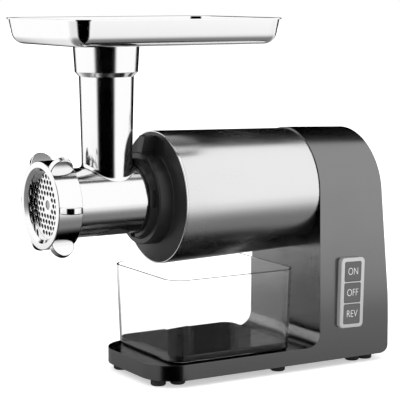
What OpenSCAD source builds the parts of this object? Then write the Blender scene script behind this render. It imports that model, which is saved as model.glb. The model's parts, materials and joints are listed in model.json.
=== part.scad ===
// Electric meat grinder: a motor in a steel sleeve drives an auger through two
// gear stages. X runs from the outlet to the rear, the buttons face -Y, +Z is up.
// The origin is on the floor, under the middle of the whole length.

/* [Housing] */
// Length of the base plate in front of the tower
base_ahead = 174.2; // [150:0.2:220]
// How far each side flares out from the arch down to the base
base_flare = 2.4; // [0.5:0.1:15]
// Height of the base plate alone
base_h = 14.3; // [12:0.1:20]
// Radius of the base plate's front corners, in plan
base_corner_r = 32; // [20:1:40]
// Height of the auger's axis above the floor
axis_h = 166.4; // [150:0.2:190]
// Depth of the tower at the base
tower_d = 83.3; // [76:0.1:100]
// Slant of the tower's rear face, in degrees from upright
rear_slant = 4.6; // [3:0.1:6]
// Step from the sleeve's rear rim out to the tower's arch
tower_step = 1; // [0.5:0.1:4]
// Fall of the tower's top towards the rear, in degrees
tower_fall = 2; // [1:0.5:4]
// Wall thickness of the housing
wall = 2.6; // [2:0.1:3.5]
// Radius of the fillet between base and tower
fillet_r = 14; // [6:1:20]
// Radius of the tower's lower rear edge
heel_r = 13; // [6:1:18]

/* [Sleeve] */
// Length of the steel sleeve
sleeve_l = 143.4; // [130:0.2:165]
// Outer radius of the sleeve at its front rim
sleeve_r = 61; // [60:0.1:70]
// Outer radius of the sleeve at the tower
sleeve_rear_r = 57.6; // [57:0.1:66]
// Thickness of the sleeve's sheet
sleeve_t = 1.2; // [0.8:0.1:2]

/* [Grinding head] */
// Distance from the front hub's face to the feed tube's axis
feed_ahead = 30.8; // [28:0.2:45]
// Distance from the feed tube's axis to the ring nut's front
nut_ahead = 67.1; // [62:0.1:90]
// Inner radius of the barrel
bore_r = 27.8; // [25:0.1:34]
// Wall thickness of the barrel
barrel_t = 3.3; // [2.5:0.1:5]
// Outer radius of the feed tube at the barrel
feed_low_r = 22.9; // [21:0.1:28]
// How much wider the feed tube is at its top
feed_flare = 1.7; // [0.5:0.1:4]
// Wall thickness of the feed tube
feed_t = 2.8; // [2:0.1:4]
// How far the collar that carries the tray stands out from the feed tube
collar_step = 5.2; // [3:0.1:8]
// Height of the collar
collar_h = 28; // [14:0.5:32]

/* [Ring nut and plate] */
// Wall of the ring nut round the head's thread
nut_wall = 2.4; // [1.8:0.1:6]
// How far the ring nut's lip reaches over the plate
nut_grip = 2.4; // [1.5:0.1:5]
// Length of the ring nut
nut_l = 23.5; // [20:0.5:32]
// Number of finger ribs on the nut
rib_count = 6; // [4:1:8]
// Height of a rib above the nut
rib_h = 10.5; // [6:0.5:14]
// Thickness of a rib
rib_t = 6; // [4:0.5:8]
// How far the perforated plate reaches past the barrel's bore
plate_ledge = 5.2; // [4:0.1:7]
// Thickness of the perforated plate
plate_t = 5; // [4:0.5:7]
// Diameter of the plate's holes
hole_d = 4; // [3:0.1:4.4]
// Distance between neighbouring holes
hole_pitch = 5.8; // [5.4:0.1:8]

/* [Tray] */
// Length of the tray
tray_l = 215; // [190:1:250]
// Width of the tray
tray_w = 152; // [130:1:180]
// Depth of the tray
tray_h = 23.5; // [20:0.5:35]
// Height of the tray's rim above the floor
overall_h = 330; // [318:1:360]
// Distance from the tray's front rim to the feed tube's axis
tray_front = 69.4; // [60:0.2:100]
// Radius of the tray's corners, in plan
tray_corner_r = 20; // [14:1:30]
// Thickness of the tray's sheet
tray_t = 1.2; // [0.8:0.1:2]
// Slope of the tray's walls, in degrees from upright
tray_draft = 11; // [0:1:15]

/* [Container] */
// Length of the container at its rim
box_l = 134.7; // [110:0.5:140]
// Distance from the container's rim in to the side of the base
box_side = 0.75; // [0:0.05:10]
// Gap between the container's rim and the sleeve above it
box_under = 7.2; // [4:0.2:30]
// Thickness of the container's walls
box_t = 2.2; // [1.5:0.1:3]
// Distance from the tower's face to the container's rear rim
box_gap = 24.7; // [20:0.1:40]
// Thickness of the insert that lies on the container's floor
insert_t = 5; // [3:0.5:8]

/* [Switch panel] */
// Height of the switch panel's middle
panel_z = 70.5; // [62:0.5:90]
// Distance from the tower's face to the switch panel's middle
panel_x = 33.4; // [28:0.2:45]
// Width of the switch panel's margin beside the buttons
bezel_side = 4.2; // [3:0.1:7]
// Width of the switch panel's margin above and below the buttons
bezel_end = 3.9; // [3:0.1:7]
// How far the panel stands out of the side
panel_proud = 4; // [2:0.2:6]
// Tilt of the panel, in degrees from upright
panel_tilt = 1.5; // [0:0.1:4]
// Side length of a square button
button_a = 18.6; // [16:0.1:23]
// Distance from one button to the next
button_web = 1.7; // [1:0.1:4]
// Travel of a button
button_travel = 2.5; // [1.5:0.1:3]

/* [Gear train] */
// Teeth of the motor pinion
teeth_pinion = 12; // [12:1:12]
// Teeth of the first wheel
teeth_first = 44; // [44:1:44]
// Teeth of the second pinion
teeth_second = 14; // [14:1:14]
// Teeth of the output wheel
teeth_output = 42; // [42:1:42]
// Module of all the teeth
gear_m = 1; // [0.95:0.01:1.02]

/* [Motor] */
// Radius of the stator stack
stator_r = 43; // [38:0.5:44]
// Length of the stator stack
stator_l = 42; // [34:1:43]
// Radius of the armature stack
armature_r = 23; // [18:0.5:24]
// Radius of the motor shaft
shaft_r = 4; // [3.5:0.1:4.5]

/* [Feet] */
// Height of the rubber feet
foot_h = 7; // [5:0.5:10]
// Diameter of a rubber foot
foot_d = 14; // [10:0.5:16]

/* [Clearances] */
// Radial running clearance of a turning shaft
run_gap = 0.05; // [0.02:0.01:0.1]
// Gap between parts that slide past each other
slide_gap = 0.3; // [0.2:0.05:0.4]

/* [Hidden] */
$fn = 96;
eps = 0.01;

// --- radii and widths that follow the sleeve and the bore ---
tower_r = sleeve_rear_r + tower_step;
base_w = 2 * (tower_r + base_flare);
box_w = base_w - 2 * box_side;
barrel_r = bore_r + barrel_t;
plate_r = bore_r + plate_ledge;
nut_open_r = plate_r - nut_grip;
feed_top_r = feed_low_r + feed_flare;
collar_r = feed_top_r + collar_step;

// --- places along X, counted from the tower's front face ---
// length of the front hub from the sleeve's rim to its flat face
hub_l = 18.6;
// distance from the tower's face to the feed tube's axis
feed_reach = sleeve_l + hub_l + feed_ahead;
front_reach = max(tray_front, nut_ahead);
tower_x = (feed_reach + front_reach - tower_d) / 2;
sleeve_x = tower_x - sleeve_l;
hub_x = sleeve_x - hub_l;
feed_x = tower_x - feed_reach;
nut_x = feed_x - nut_ahead;
rear_x = tower_x + tower_d;
base_l = base_ahead + tower_d;
base_x = rear_x - base_l;

// --- heights ---
base_top = foot_h + base_h;
tray_z = overall_h - tray_h;
collar_top = tray_z;
collar_z = collar_top - collar_h;
tower_top = axis_h + tower_r;
box_z = base_top + 0.1;
box_h = axis_h - sleeve_r - box_under - box_z;

// --- head, from the outlet backwards ---
lip_t = 7.8;
plate_x = nut_x + lip_t + run_gap;
thread_r = plate_r + 3.7;
nut_bore_r = thread_r + slide_gap;
nut_r = nut_bore_r + nut_wall;
seat_r = plate_r + slide_gap;
head_x = plate_x + 1;
thread_back_x = nut_x + nut_l - 1.5;
blade_t = 6;
blade_x = plate_x + plate_t + slide_gap;
auger_front_x = blade_x + blade_t + slide_gap;
barrel_back_x = hub_x + 12;
bushing_l = 10;
bushing_x = barrel_back_x - bushing_l;
auger_back_x = bushing_x - 1;
journal_r = 4;
shank_a = 10;
drive_a = 12;
drive_l = 17;
disc_t = 3;
core_r = 11;
flight_pitch = 30;
auger_journal_r = 14;
flight_r = bore_r - 0.5;
throat_r = feed_low_r - feed_t;
skirt_seat_r = feed_top_r - 1;
collar_slope_h = 4;
collar_low_r = collar_r - 1.5;
skirt_l = 11;
key_a = 4;
lug_r = 3;
lug_x = hub_x + 4.5;
lug_out = barrel_r + 3.9;

// --- hub ---
hub_r = barrel_r + 11.2;
hub_boss_r = barrel_r + 5.9;
hub_boss_l = 5;
finger_slot_h = 15;
finger_slot_d = 3.5;
finger_slot_up = 3.5;
cone_l = 4.5;
hub_plate_t = 4;
hub_back_x = sleeve_x + hub_plate_t;
key_w = 11.4;
trim_l = 1.6;
trim_w = 1.2;
flange_r = sleeve_r - trim_w - 0.1;
key_top = flange_r - 2.7;
groove_r = lug_out + 1;

// --- gear train: both stages share one centre distance ---
center_d = gear_m * (teeth_pinion + teeth_first) / 2;
output_gear_x = hub_back_x + 6;
output_gear_l = 12;
first_gear_x = output_gear_x + output_gear_l + 4;
first_gear_l = 9;
case_back_x = first_gear_x + first_gear_l + 3;
case_wall = 4;
cavity_r = center_d + gear_m * (teeth_first / 2 + 3);
cover_t = 8;
cover_back_x = case_back_x + cover_t;
// the case clears the narrowing sleeve at its rear end
case_gap = 0.9;
sleeve_taper = (sleeve_r - sleeve_rear_r) / sleeve_l;
case_r = sleeve_r - sleeve_t - case_gap
    - max(0, sleeve_taper * (cover_back_x - sleeve_x));
output_shaft_r = 11;
output_bearing_r = output_shaft_r + 3;
socket_x = barrel_back_x + 1;
inter_shaft_r = 4;
bearing_w = 7;
bearing_r = 11;
screw_circle = 49;
screw_r = 1.8;
screw_depth = 4.5;

// --- motor, behind the gearbox ---
frame_r = stator_r + 3;
fan_x = cover_back_x + 2;
fan_l = 9;
fan_r = stator_r - 4;
coil_l = 5;
air_gap = 0.5;
stator_x = fan_x + fan_l + coil_l + 1;
stator_end = stator_x + stator_l;
commutator_x = stator_end + coil_l + 1;
commutator_l = 13;
commutator_r = 13;
bracket_t = 8;
shaft_end = tower_x - 4;
bracket_x = shaft_end - 2 - bearing_w - 1;
brush_a = 6;

// --- switch panel ---
button_pitch = button_a + button_web;
panel_w = button_a + 2 * bezel_side;
panel_h = button_a + 2 * button_pitch + 2 * bezel_end;
button_t = 7;
tact_gap = 0.4;
button_y = -(base_w / 2 + panel_proud + 0.3);
bezel_y = -(base_w / 2 + panel_proud);
bezel_tub = 9;
bezel_r = 4;

// --- feet: two pairs under the front, one ahead of the tower, two under the rear ---
foot_places = [[base_x + 13.2, base_w / 2 - 25], [base_x + 31.2, base_w / 2 - 21],
    [tower_x - 37, base_w / 2 - 17], [rear_x - 34.3, base_w / 2 - 17],
    [rear_x - 19.3, base_w / 2 - 17]];

// ---------- shared shapes ----------

// Puts a child that was drawn along +Z on the auger's axis, pointing back from x.
module on_axis(x) {
    translate([x, 0, axis_h]) rotate([0, 90, 0]) children();
}

// Tube on the auger's axis.
module axis_tube(x, l, r, r_in) {
    on_axis(x) difference() {
        cylinder(h = l, r = r);
        translate([0, 0, -1]) cylinder(h = l + 2, r = r_in);
    }
}

// Copies of a child, n times round the auger's axis.
module round_axis(n, a0 = 0) {
    for (i = [0 : n - 1])
        translate([0, 0, axis_h]) rotate([a0 + i * 360 / n, 0, 0]) children();
}

// Rectangle with round corners, centred, from circles and squares only.
module round_rect(l, w, r) {
    square([l - 2 * r, w], center = true);
    square([l, w - 2 * r], center = true);
    for (sx = [-1, 1], sy = [-1, 1])
        translate([sx * (l / 2 - r), sy * (w / 2 - r)]) circle(r = r);
}

// Half section of a drafted wall with a round lower edge: its reach is r at height h.
function pan_section(r, h, draft, edge_r, steps = 6) =
    let (foot = r - h * tan(draft), turn = 90 - draft)
    let (round_x = foot - edge_r * tan(turn / 2))
    concat([[0, 0]],
        [for (i = [0 : steps])
            let (a = turn * i / steps)
            [round_x + edge_r * sin(a), edge_r * (1 - cos(a))]],
        [[r, h], [0, h]]);

// Solid pan shape, l by w at its rim, with drafted walls and round corners.
module pan(l, w, h, corner_r, draft, edge_r) {
    section = pan_section(corner_r, h, draft, edge_r);
    for (sx = [-1, 1], sy = [-1, 1])
        translate([sx * (l / 2 - corner_r), sy * (w / 2 - corner_r), 0])
            rotate_extrude() polygon(section);
    for (s = [0, 180]) {
        rotate([0, 0, s]) translate([l / 2 - corner_r, 0, 0])
            pan_side(section, w - 2 * corner_r);
        rotate([0, 0, s + 90]) translate([w / 2 - corner_r, 0, 0])
            pan_side(section, l - 2 * corner_r);
    }
    translate([0, 0, h / 2])
        cube([l - 2 * corner_r, w - 2 * corner_r, h], center = true);
}

// One straight side of a pan.
module pan_side(section, length) {
    rotate([90, 0, 0]) linear_extrude(height = length, center = true) polygon(section);
}

// Involute tooth flank points, from the base circle to the tip.
function inv_point(rb, t) =
    [rb * (cos(t) + t * PI / 180 * sin(t)), rb * (sin(t) - t * PI / 180 * cos(t))];
function turn(p, a) = [p[0] * cos(a) - p[1] * sin(a), p[0] * sin(a) + p[1] * cos(a)];

// Spur wheel drawn along +Z with a tooth centred on +X.
module spur(teeth, length, hole_r) {
    pressure = 20;
    play = 0.22;
    rp = gear_m * teeth / 2;
    rb = rp * cos(pressure);
    tip = rp + 0.74 * gear_m;
    root = rp - 1.05 * gear_m;
    start = root > rb ? sqrt(root * root / (rb * rb) - 1) * 180 / PI : 0;
    reach = sqrt(tip * tip / (rb * rb) - 1) * 180 / PI;
    half_tooth = 90 / teeth - play / 2 / rp * 180 / PI;
    lean = tan(pressure) * 180 / PI - pressure;
    flank = [for (i = [0 : 5])
        turn(inv_point(rb, start + (reach - start) * i / 5), -half_tooth - lean)];
    tooth = concat([[root * 0.9 * cos(half_tooth), -root * 0.9 * sin(half_tooth)]], flank,
        [for (i = [5 : -1 : 0]) [flank[i][0], -flank[i][1]]],
        [[root * 0.9 * cos(half_tooth), root * 0.9 * sin(half_tooth)]]);
    difference() {
        linear_extrude(height = length) {
            circle(r = root);
            for (i = [0 : teeth - 1]) rotate(i * 360 / teeth) polygon(tooth);
        }
        translate([0, 0, -1]) cylinder(h = length + 2, r = hole_r);
    }
}

// ---------- housing ----------

// Place along X of the slanted rear face at a height.
function rear_face(z) = rear_x - heel_r
    + (heel_r - (z - foot_h - heel_r) * sin(rear_slant)) / cos(rear_slant);

// Outline of base and tower seen from the side, moved in by the given wall.
module side_outline(inset) {
    low = foot_h + (inset > 0 ? -1 : 0);
    top = tower_top + 5;
    round_r = heel_r - inset;
    heel_z = foot_h + heel_r;
    heel_x = rear_x - heel_r;
    front = tower_x + inset;
    inner_r = fillet_r + inset;
    difference() {
        union() {
            polygon([[base_x + inset, low], [heel_x, low],
                [heel_x + round_r * cos(rear_slant), heel_z + round_r * sin(rear_slant)],
                [rear_face(top) - inset / cos(rear_slant), top], [front, top],
                [front, base_top - inset + inner_r],
                [front - inner_r, base_top - inset], [base_x + inset, base_top - inset]]);
            translate([heel_x, heel_z]) circle(r = round_r);
        }
        translate([front - inner_r, base_top - inset + inner_r]) circle(r = inner_r);
    }
}

// Outline seen from the front: an arch on slightly flared sides.
module front_outline(inset) {
    translate([0, axis_h]) circle(r = tower_r - inset);
    polygon([[-tower_r + inset, axis_h], [-base_w / 2 + inset, foot_h - 1],
        [base_w / 2 - inset, foot_h - 1], [tower_r - inset, axis_h]]);
}

// Outline seen from above: round front corners, small round rear corners.
module plan_outline(inset) {
    front_r = base_corner_r - inset;
    back_r = 8 - inset;
    half = base_w / 2 - inset;
    for (s = [-1, 1]) {
        translate([base_x + base_corner_r, s * (half - front_r)]) circle(r = front_r);
        translate([rear_x - 8, s * (half - back_r)]) circle(r = back_r);
    }
    translate([base_x + base_corner_r, -half])
        square([base_l - base_corner_r - 8, 2 * half]);
    translate([base_x + inset, -half + front_r])
        square([base_l / 2, 2 * (half - front_r)]);
    translate([rear_x - inset - base_l / 2, -half + back_r])
        square([base_l / 2, 2 * (half - back_r)]);
}

// The fall starts a little ahead of the tower, on an arch a little wider than the upright one.
fall_start = 12;
fall_wider = 0.8;

// Arch along the tower that falls to the rear; below the axis it is wider than the housing.
module falling_arch(inset) {
    translate([tower_x - fall_start, 0, axis_h - fall_wider]) rotate([0, tower_fall, 0])
        translate([-base_l, 0, 0]) rotate([90, 0, 90]) linear_extrude(height = 2 * base_l) {
            circle(r = tower_r + fall_wider - inset);
            translate([-base_w, -2 * axis_h]) square([2 * base_w, 2 * axis_h]);
        }
}

// The housing's form as one solid, moved in by the given wall.
module housing_form(inset) {
    intersection() {
        falling_arch(inset);
        translate([0, base_w, 0]) rotate([90, 0, 0])
            linear_extrude(height = 2 * base_w) side_outline(inset);
        translate([base_x - 5, 0, 0]) rotate([90, 0, 90])
            linear_extrude(height = base_l + 10) front_outline(inset);
        translate([0, 0, foot_h - 2])
            linear_extrude(height = tower_top + 10) plan_outline(inset);
    }
}

// Places a child drawn round the origin on the switch panel, facing -Y.
module at_panel(dz = 0) {
    translate([tower_x + panel_x, 0, panel_z]) rotate([0, panel_tilt, 0])
        translate([0, 0, dz]) children();
}

vent_w = 66;
vent_h = 52;
vent_z = 118;
vent_t = 2;
gland_z = 54;
gland_r = 7;
gland_flange_r = 10;
gland_proud = 2;
cable_r = 3.6;
boss_r = 5;
boss_web_t = 3;
cover_lip_t = 2.4;

// Rear face frame: a child is drawn with z up the slant and x out of the face.
module on_rear(z) {
    translate([rear_face(z), 0, z]) rotate([0, -rear_slant, 0]) children();
}

module housing() {
    color([0.36, 0.36, 0.37]) difference() {
        housing_form(0);
        difference() {
            housing_form(wall);
            // screw bosses above the feet, each on a web from the side wall
            for (p = foot_places, s = [-1, 1]) translate([p[0], s * p[1], foot_h]) {
                cylinder(h = base_h, r = boss_r);
                translate([0, s * (base_w / 2 - p[1]) / 2, base_h / 2])
                    cube([boss_web_t, base_w / 2 - p[1], base_h], center = true);
            }
        }
        // bottom recess that takes the cover
        intersection() {
            translate([0, 0, foot_h - 1]) linear_extrude(height = 1 + cover_lip_t)
                plan_outline(wall / 2);
            housing_form(wall / 2);
        }
        for (p = foot_places, s = [-1, 1])
            translate([p[0], s * p[1], foot_h])
                cylinder(h = base_h - wall - 1, r = 1.6);
        // way through to the sleeve
        on_axis(tower_x - 1) cylinder(h = wall + 2, r = frame_r + slide_gap);
        // seat of the switch bezel
        at_panel() translate([0, -base_w / 2, 0])
            cube([panel_w - 5, 2 * bezel_tub, panel_h - 5], center = true);
        on_rear(vent_z) cube([4 * wall, vent_w, vent_h], center = true);
        on_rear(gland_z) rotate([0, 90, 0])
            cylinder(h = 6 * wall, r = gland_r, center = true);
    }
}

module bottom_cover() {
    color([0.13, 0.13, 0.14]) difference() {
        intersection() {
            translate([0, 0, foot_h]) linear_extrude(height = cover_lip_t)
                plan_outline(wall / 2 + 0.1);
            housing_form(wall / 2 + 0.1);
        }
        for (p = foot_places, s = [-1, 1])
            translate([p[0], s * p[1], foot_h - 1])
                cylinder(h = 5, r = 2.1);
        // air slots below the motor
        for (i = [-3 : 3])
            translate([tower_x + 20 + i * 6, 0, foot_h])
                cube([2.5, 40, 10], center = true);
    }
}

module rear_vent_panel() {
    color([0.16, 0.16, 0.17]) on_rear(vent_z) difference() {
        union() {
            translate([-wall, 0, 0])
                cube([2 * wall - 1, vent_w - 0.2, vent_h - 0.2], center = true);
            translate([-wall - vent_t, 0, 0])
                cube([vent_t, vent_w + 6, vent_h + 6], center = true);
        }
        for (i = [-4 : 4]) translate([0, 0, i * 5])
            cube([30, vent_w - 12, 2.4], center = true);
    }
}

module rubber_feet() {
    color([0.07, 0.07, 0.07]) for (p = foot_places, s = [-1, 1])
        translate([p[0], s * p[1], 0]) difference() {
            union() {
                cylinder(h = 1, r1 = foot_d / 2 - 1, r2 = foot_d / 2);
                translate([0, 0, 1]) cylinder(h = foot_h - 1, r = foot_d / 2);
            }
            translate([0, 0, -1]) cylinder(h = 4, r = 4);
            cylinder(h = foot_h + 1, r = 2.1);
        }
}

module foot_screws() {
    color([0.72, 0.72, 0.72]) for (p = foot_places, s = [-1, 1])
        translate([p[0], s * p[1], 0]) difference() {
            union() {
                translate([0, 0, 0.8]) cylinder(h = 2.2, r = 3.6);
                translate([0, 0, 3]) cylinder(h = foot_h + 4, r = 1.6);
            }
            cube([4.4, 0.9, 3.4], center = true);
            cube([0.9, 4.4, 3.4], center = true);
        }
}

module cable_gland() {
    color([0.09, 0.09, 0.09]) on_rear(gland_z) rotate([0, -90, 0]) difference() {
        union() {
            translate([0, 0, -gland_proud]) cylinder(h = gland_proud, r = gland_flange_r);
            translate([0, 0, -eps]) cylinder(h = wall + 3, r = gland_r - 0.1);
            translate([0, 0, wall + 0.2]) cylinder(h = 8, r = gland_flange_r);
        }
        translate([0, 0, -10]) cylinder(h = 30, r = cable_r);
    }
}

// ---------- sleeve and hub ----------

module motor_sleeve() {
    color([0.78, 0.78, 0.79]) on_axis(sleeve_x) difference() {
        cylinder(h = sleeve_l, r1 = sleeve_r, r2 = sleeve_rear_r);
        translate([0, 0, -eps])
            cylinder(h = sleeve_l + 2 * eps, r1 = sleeve_r - sleeve_t,
                r2 = sleeve_rear_r - sleeve_t);
    }
}

module sleeve_trim_ring() {
    color([0.93, 0.93, 0.93])
        axis_tube(sleeve_x - trim_l, trim_l, sleeve_r, sleeve_r - trim_w);
}

module front_hub() {
    color([0.15, 0.15, 0.15]) difference() {
        union() {
            on_axis(hub_x) cylinder(h = hub_l, r = hub_r);
            on_axis(hub_x - hub_boss_l)
                cylinder(h = hub_boss_l, r1 = hub_boss_r - 1.5, r2 = hub_boss_r);
            on_axis(sleeve_x - cone_l) cylinder(h = cone_l, r1 = hub_r, r2 = flange_r);
            on_axis(sleeve_x) cylinder(h = hub_plate_t, r = flange_r);
            // key block on top, with a leaning front face
            translate([0, key_w / 2, axis_h]) rotate([90, 0, 0])
                linear_extrude(height = key_w)
                    polygon([[hub_x - 0.5, hub_r - 9], [hub_x + 5, key_top],
                        [sleeve_x, key_top], [sleeve_x, hub_r - 9]]);
        }
        on_axis(hub_x - hub_boss_l - 1)
            cylinder(h = hub_boss_l + 1 + barrel_back_x - hub_x + 0.5, r = barrel_r + 0.4);
        // groove in which the head's lock pins turn
        on_axis(lug_x - lug_r - 0.6) cylinder(h = 2 * lug_r + 1.2, r = groove_r);
        // entry notches of the groove
        round_axis(2) translate([lug_x - 10, 0, lug_out - 3])
            cube([20, 2 * lug_r + 2, 8.5], center = true);
        // finger slot along the boss
        translate([hub_x - hub_boss_l - 1, -hub_boss_r - 1,
            axis_h + finger_slot_up - finger_slot_h / 2])
            cube([hub_boss_l + 1, finger_slot_d + 1, finger_slot_h]);
        // passage of the output shaft and the blind holes of the screws behind
        on_axis(hub_x) cylinder(h = 2 * hub_l, r = output_bearing_r);
        round_axis(4, 45) translate([hub_back_x - screw_depth, 0, screw_circle])
            rotate([0, 90, 0]) cylinder(h = 30, r = screw_r);
    }
}

module hub_screws() {
    color([0.7, 0.7, 0.7]) round_axis(4, 45)
        translate([hub_back_x - screw_depth, 0, screw_circle]) rotate([0, 90, 0])
            difference() {
                union() {
                    cylinder(h = screw_depth + case_wall, r = screw_r);
                    translate([0, 0, screw_depth + case_wall]) cylinder(h = 3, r = 3.4);
                }
                translate([0, 0, screw_depth + case_wall + 1.2])
                    cylinder(h = 2, r = 1.6, $fn = 6);
            }
}

// ---------- gearbox ----------

module gearbox_case() {
    color([0.62, 0.63, 0.65]) difference() {
        on_axis(hub_back_x) cylinder(h = case_back_x - hub_back_x, r = case_r);
        on_axis(hub_back_x + case_wall)
            cylinder(h = case_back_x - hub_back_x, r = cavity_r);
        // output shaft's bearing, the intermediate shaft's end and the screws
        on_axis(hub_back_x - 1) cylinder(h = 10, r = output_bearing_r);
        translate([0, 0, -center_d]) on_axis(hub_back_x + 1)
            cylinder(h = 10, r = inter_shaft_r + run_gap);
        round_axis(4, 45) translate([hub_back_x - 1, 0, screw_circle])
            rotate([0, 90, 0]) cylinder(h = case_wall + 2, r = screw_r);
    }
}

module gearbox_cover() {
    color([0.6, 0.61, 0.63]) difference() {
        on_axis(case_back_x) cylinder(h = cover_t, r = case_r);
        on_axis(case_back_x - 1) cylinder(h = 20, r = shaft_r + 1);
        on_axis(cover_back_x - bearing_w) cylinder(h = 20, r = bearing_r);
        translate([0, 0, -center_d]) on_axis(case_back_x - 1)
            cylinder(h = 4, r = inter_shaft_r + run_gap);
    }
}

module output_bearing() {
    color([0.72, 0.55, 0.3])
        axis_tube(sleeve_x, hub_plate_t + case_wall, output_bearing_r,
            output_shaft_r + run_gap);
}

module output_shaft() {
    color([0.75, 0.75, 0.76]) difference() {
        on_axis(socket_x) cylinder(h = output_gear_x + output_gear_l + 1 - socket_x,
            r = output_shaft_r);
        on_axis(socket_x - 1) linear_extrude(height = 60)
            square(drive_a + 0.2, center = true);
    }
}

module output_gear() {
    color([0.85, 0.83, 0.76]) on_axis(output_gear_x)
        spur(teeth_output, output_gear_l, output_shaft_r);
}

module intermediate_shaft() {
    color([0.78, 0.78, 0.79]) translate([0, 0, -center_d]) on_axis(hub_back_x + 1.5)
        cylinder(h = case_back_x + 2.5 - hub_back_x - 1.5, r = inter_shaft_r);
}

module intermediate_gear() {
    color([0.85, 0.83, 0.76]) translate([0, 0, -center_d]) on_axis(first_gear_x)
        rotate(180 / teeth_first) spur(teeth_first, first_gear_l, inter_shaft_r);
}

module intermediate_pinion() {
    color([0.7, 0.7, 0.72]) translate([0, 0, -center_d]) on_axis(output_gear_x - 0.5)
        rotate(180 / teeth_second)
            spur(teeth_second, first_gear_x - output_gear_x + 0.5, inter_shaft_r);
}

module motor_pinion() {
    color([0.72, 0.72, 0.74]) on_axis(first_gear_x - 0.5)
        spur(teeth_pinion, first_gear_l + 1, shaft_r - 1);
}

// ---------- motor ----------

module motor_shaft() {
    color([0.78, 0.78, 0.79]) {
        on_axis(first_gear_x - 1) cylinder(h = first_gear_l + 2, r = shaft_r - 1);
        on_axis(first_gear_x + first_gear_l + 0.5)
            cylinder(h = shaft_end - first_gear_x - first_gear_l - 0.5,
                r = shaft_r - run_gap);
    }
}

module bearing(x) {
    axis_tube(x, bearing_w, bearing_r, shaft_r);
}

module front_bearing() {
    color([0.8, 0.8, 0.81]) bearing(cover_back_x - bearing_w);
}

module rear_bearing() {
    color([0.8, 0.8, 0.81]) bearing(bracket_x + 1);
}

module cooling_fan() {
    hub_out = 9;
    blade_count = 9;
    disc_l = 1.5;
    color([0.2, 0.2, 0.21]) difference() {
        union() {
            on_axis(fan_x + fan_l - disc_l) cylinder(h = disc_l, r = fan_r);
            on_axis(fan_x) linear_extrude(height = fan_l - disc_l) {
                circle(r = hub_out);
                for (i = [0 : blade_count - 1]) rotate(i * 360 / blade_count + 5)
                    translate([hub_out - 1, -0.8]) square([fan_r - hub_out - 1, 1.6]);
            }
        }
        on_axis(fan_x - 1) cylinder(h = fan_l + 2, r = shaft_r - run_gap);
    }
}

module stator_core() {
    color([0.45, 0.46, 0.48])
        axis_tube(stator_x, stator_l, stator_r, armature_r + air_gap);
}

module field_coils() {
    color([0.72, 0.4, 0.2]) for (x = [stator_x - coil_l, stator_end])
        axis_tube(x, coil_l, stator_r - 4, armature_r + 3);
}

module armature_core() {
    slots = 12;
    color([0.5, 0.5, 0.52]) difference() {
        on_axis(stator_x + 1) cylinder(h = stator_l - 2, r = armature_r);
        on_axis(stator_x) cylinder(h = stator_l, r = shaft_r - run_gap);
        round_axis(slots) translate([stator_x, -1.2, armature_r - 8])
            cube([stator_l, 2.4, 10]);
    }
}

module armature_windings() {
    winding_l = coil_l - 1;
    color([0.75, 0.43, 0.22]) for (x = [stator_x + 1 - winding_l, stator_end - 1])
        axis_tube(x, winding_l, armature_r - 3, shaft_r - run_gap);
}

module commutator() {
    bars = 24;
    color([0.76, 0.5, 0.3]) difference() {
        axis_tube(commutator_x, commutator_l, commutator_r, shaft_r - run_gap);
        round_axis(bars) translate([commutator_x - 1, -0.25, commutator_r - 1.5])
            cube([commutator_l + 2, 0.5, 3]);
    }
}

module brush_pair(x, a, b, r0, r1) {
    for (s = [0, 180]) translate([x, 0, axis_h]) rotate([s, 0, 0])
        translate([-a / 2, r0, -b / 2]) cube([a, r1 - r0, b]);
}

brush_x = commutator_x + commutator_l / 2;

module carbon_brushes() {
    color([0.12, 0.12, 0.12]) intersection() {
        difference() {
            brush_pair(brush_x, brush_a, brush_a + 2, 0, commutator_r + 14);
            on_axis(commutator_x - 5)
                cylinder(h = commutator_l + 10, r = commutator_r + slide_gap);
        }
        on_axis(commutator_x - 5) cylinder(h = commutator_l + 10, r = stator_r);
    }
}

module brush_holders() {
    color([0.72, 0.6, 0.35]) intersection() {
        difference() {
            brush_pair(brush_x, brush_a + 4, brush_a + 6, commutator_r + 3, stator_r + 2);
            brush_pair(brush_x, brush_a + 0.2, brush_a + 2.2, 0, stator_r - 3);
        }
        on_axis(commutator_x - 5) cylinder(h = commutator_l + 10, r = stator_r);
    }
}

module motor_frame() {
    flange_t = 3;
    color([0.58, 0.59, 0.61]) difference() {
        union() {
            on_axis(cover_back_x) cylinder(h = tower_x - cover_back_x, r = frame_r);
            on_axis(tower_x - flange_t)
                cylinder(h = flange_t, r = sleeve_rear_r - sleeve_t - 0.5);
        }
        on_axis(cover_back_x - 1) cylinder(h = sleeve_l, r = stator_r);
        // air slots between fan and stator
        round_axis(8) translate([fan_x, -7, stator_r - 5])
            cube([fan_l, 14, 12]);
    }
}

module motor_bracket() {
    color([0.2, 0.2, 0.21]) difference() {
        on_axis(bracket_x) cylinder(h = bracket_t, r = stator_r);
        on_axis(bracket_x + 1) cylinder(h = bracket_t, r = bearing_r);
        on_axis(bracket_x - 1) cylinder(h = bracket_t, r = shaft_r + 1);
        round_axis(6) translate([bracket_x - 1, -8, bearing_r + 6])
            cube([bracket_t + 2, 16, stator_r - bearing_r - 12]);
    }
}

// ---------- switch ----------

module panel_block(l, h, r, y0, y1) {
    translate([0, y1, 0]) rotate([90, 0, 0]) linear_extrude(height = y1 - y0)
        round_rect(l, h, r);
}

bezel_back_y = -base_w / 2 + bezel_tub - 0.5;
stem_l = 4;
button_back_y = button_y + button_t;
tact_y = button_back_y + stem_l + button_travel + tact_gap;
tact_t = 3.5;
board_y = tact_y + tact_t;
board_t = 1.6;

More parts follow.
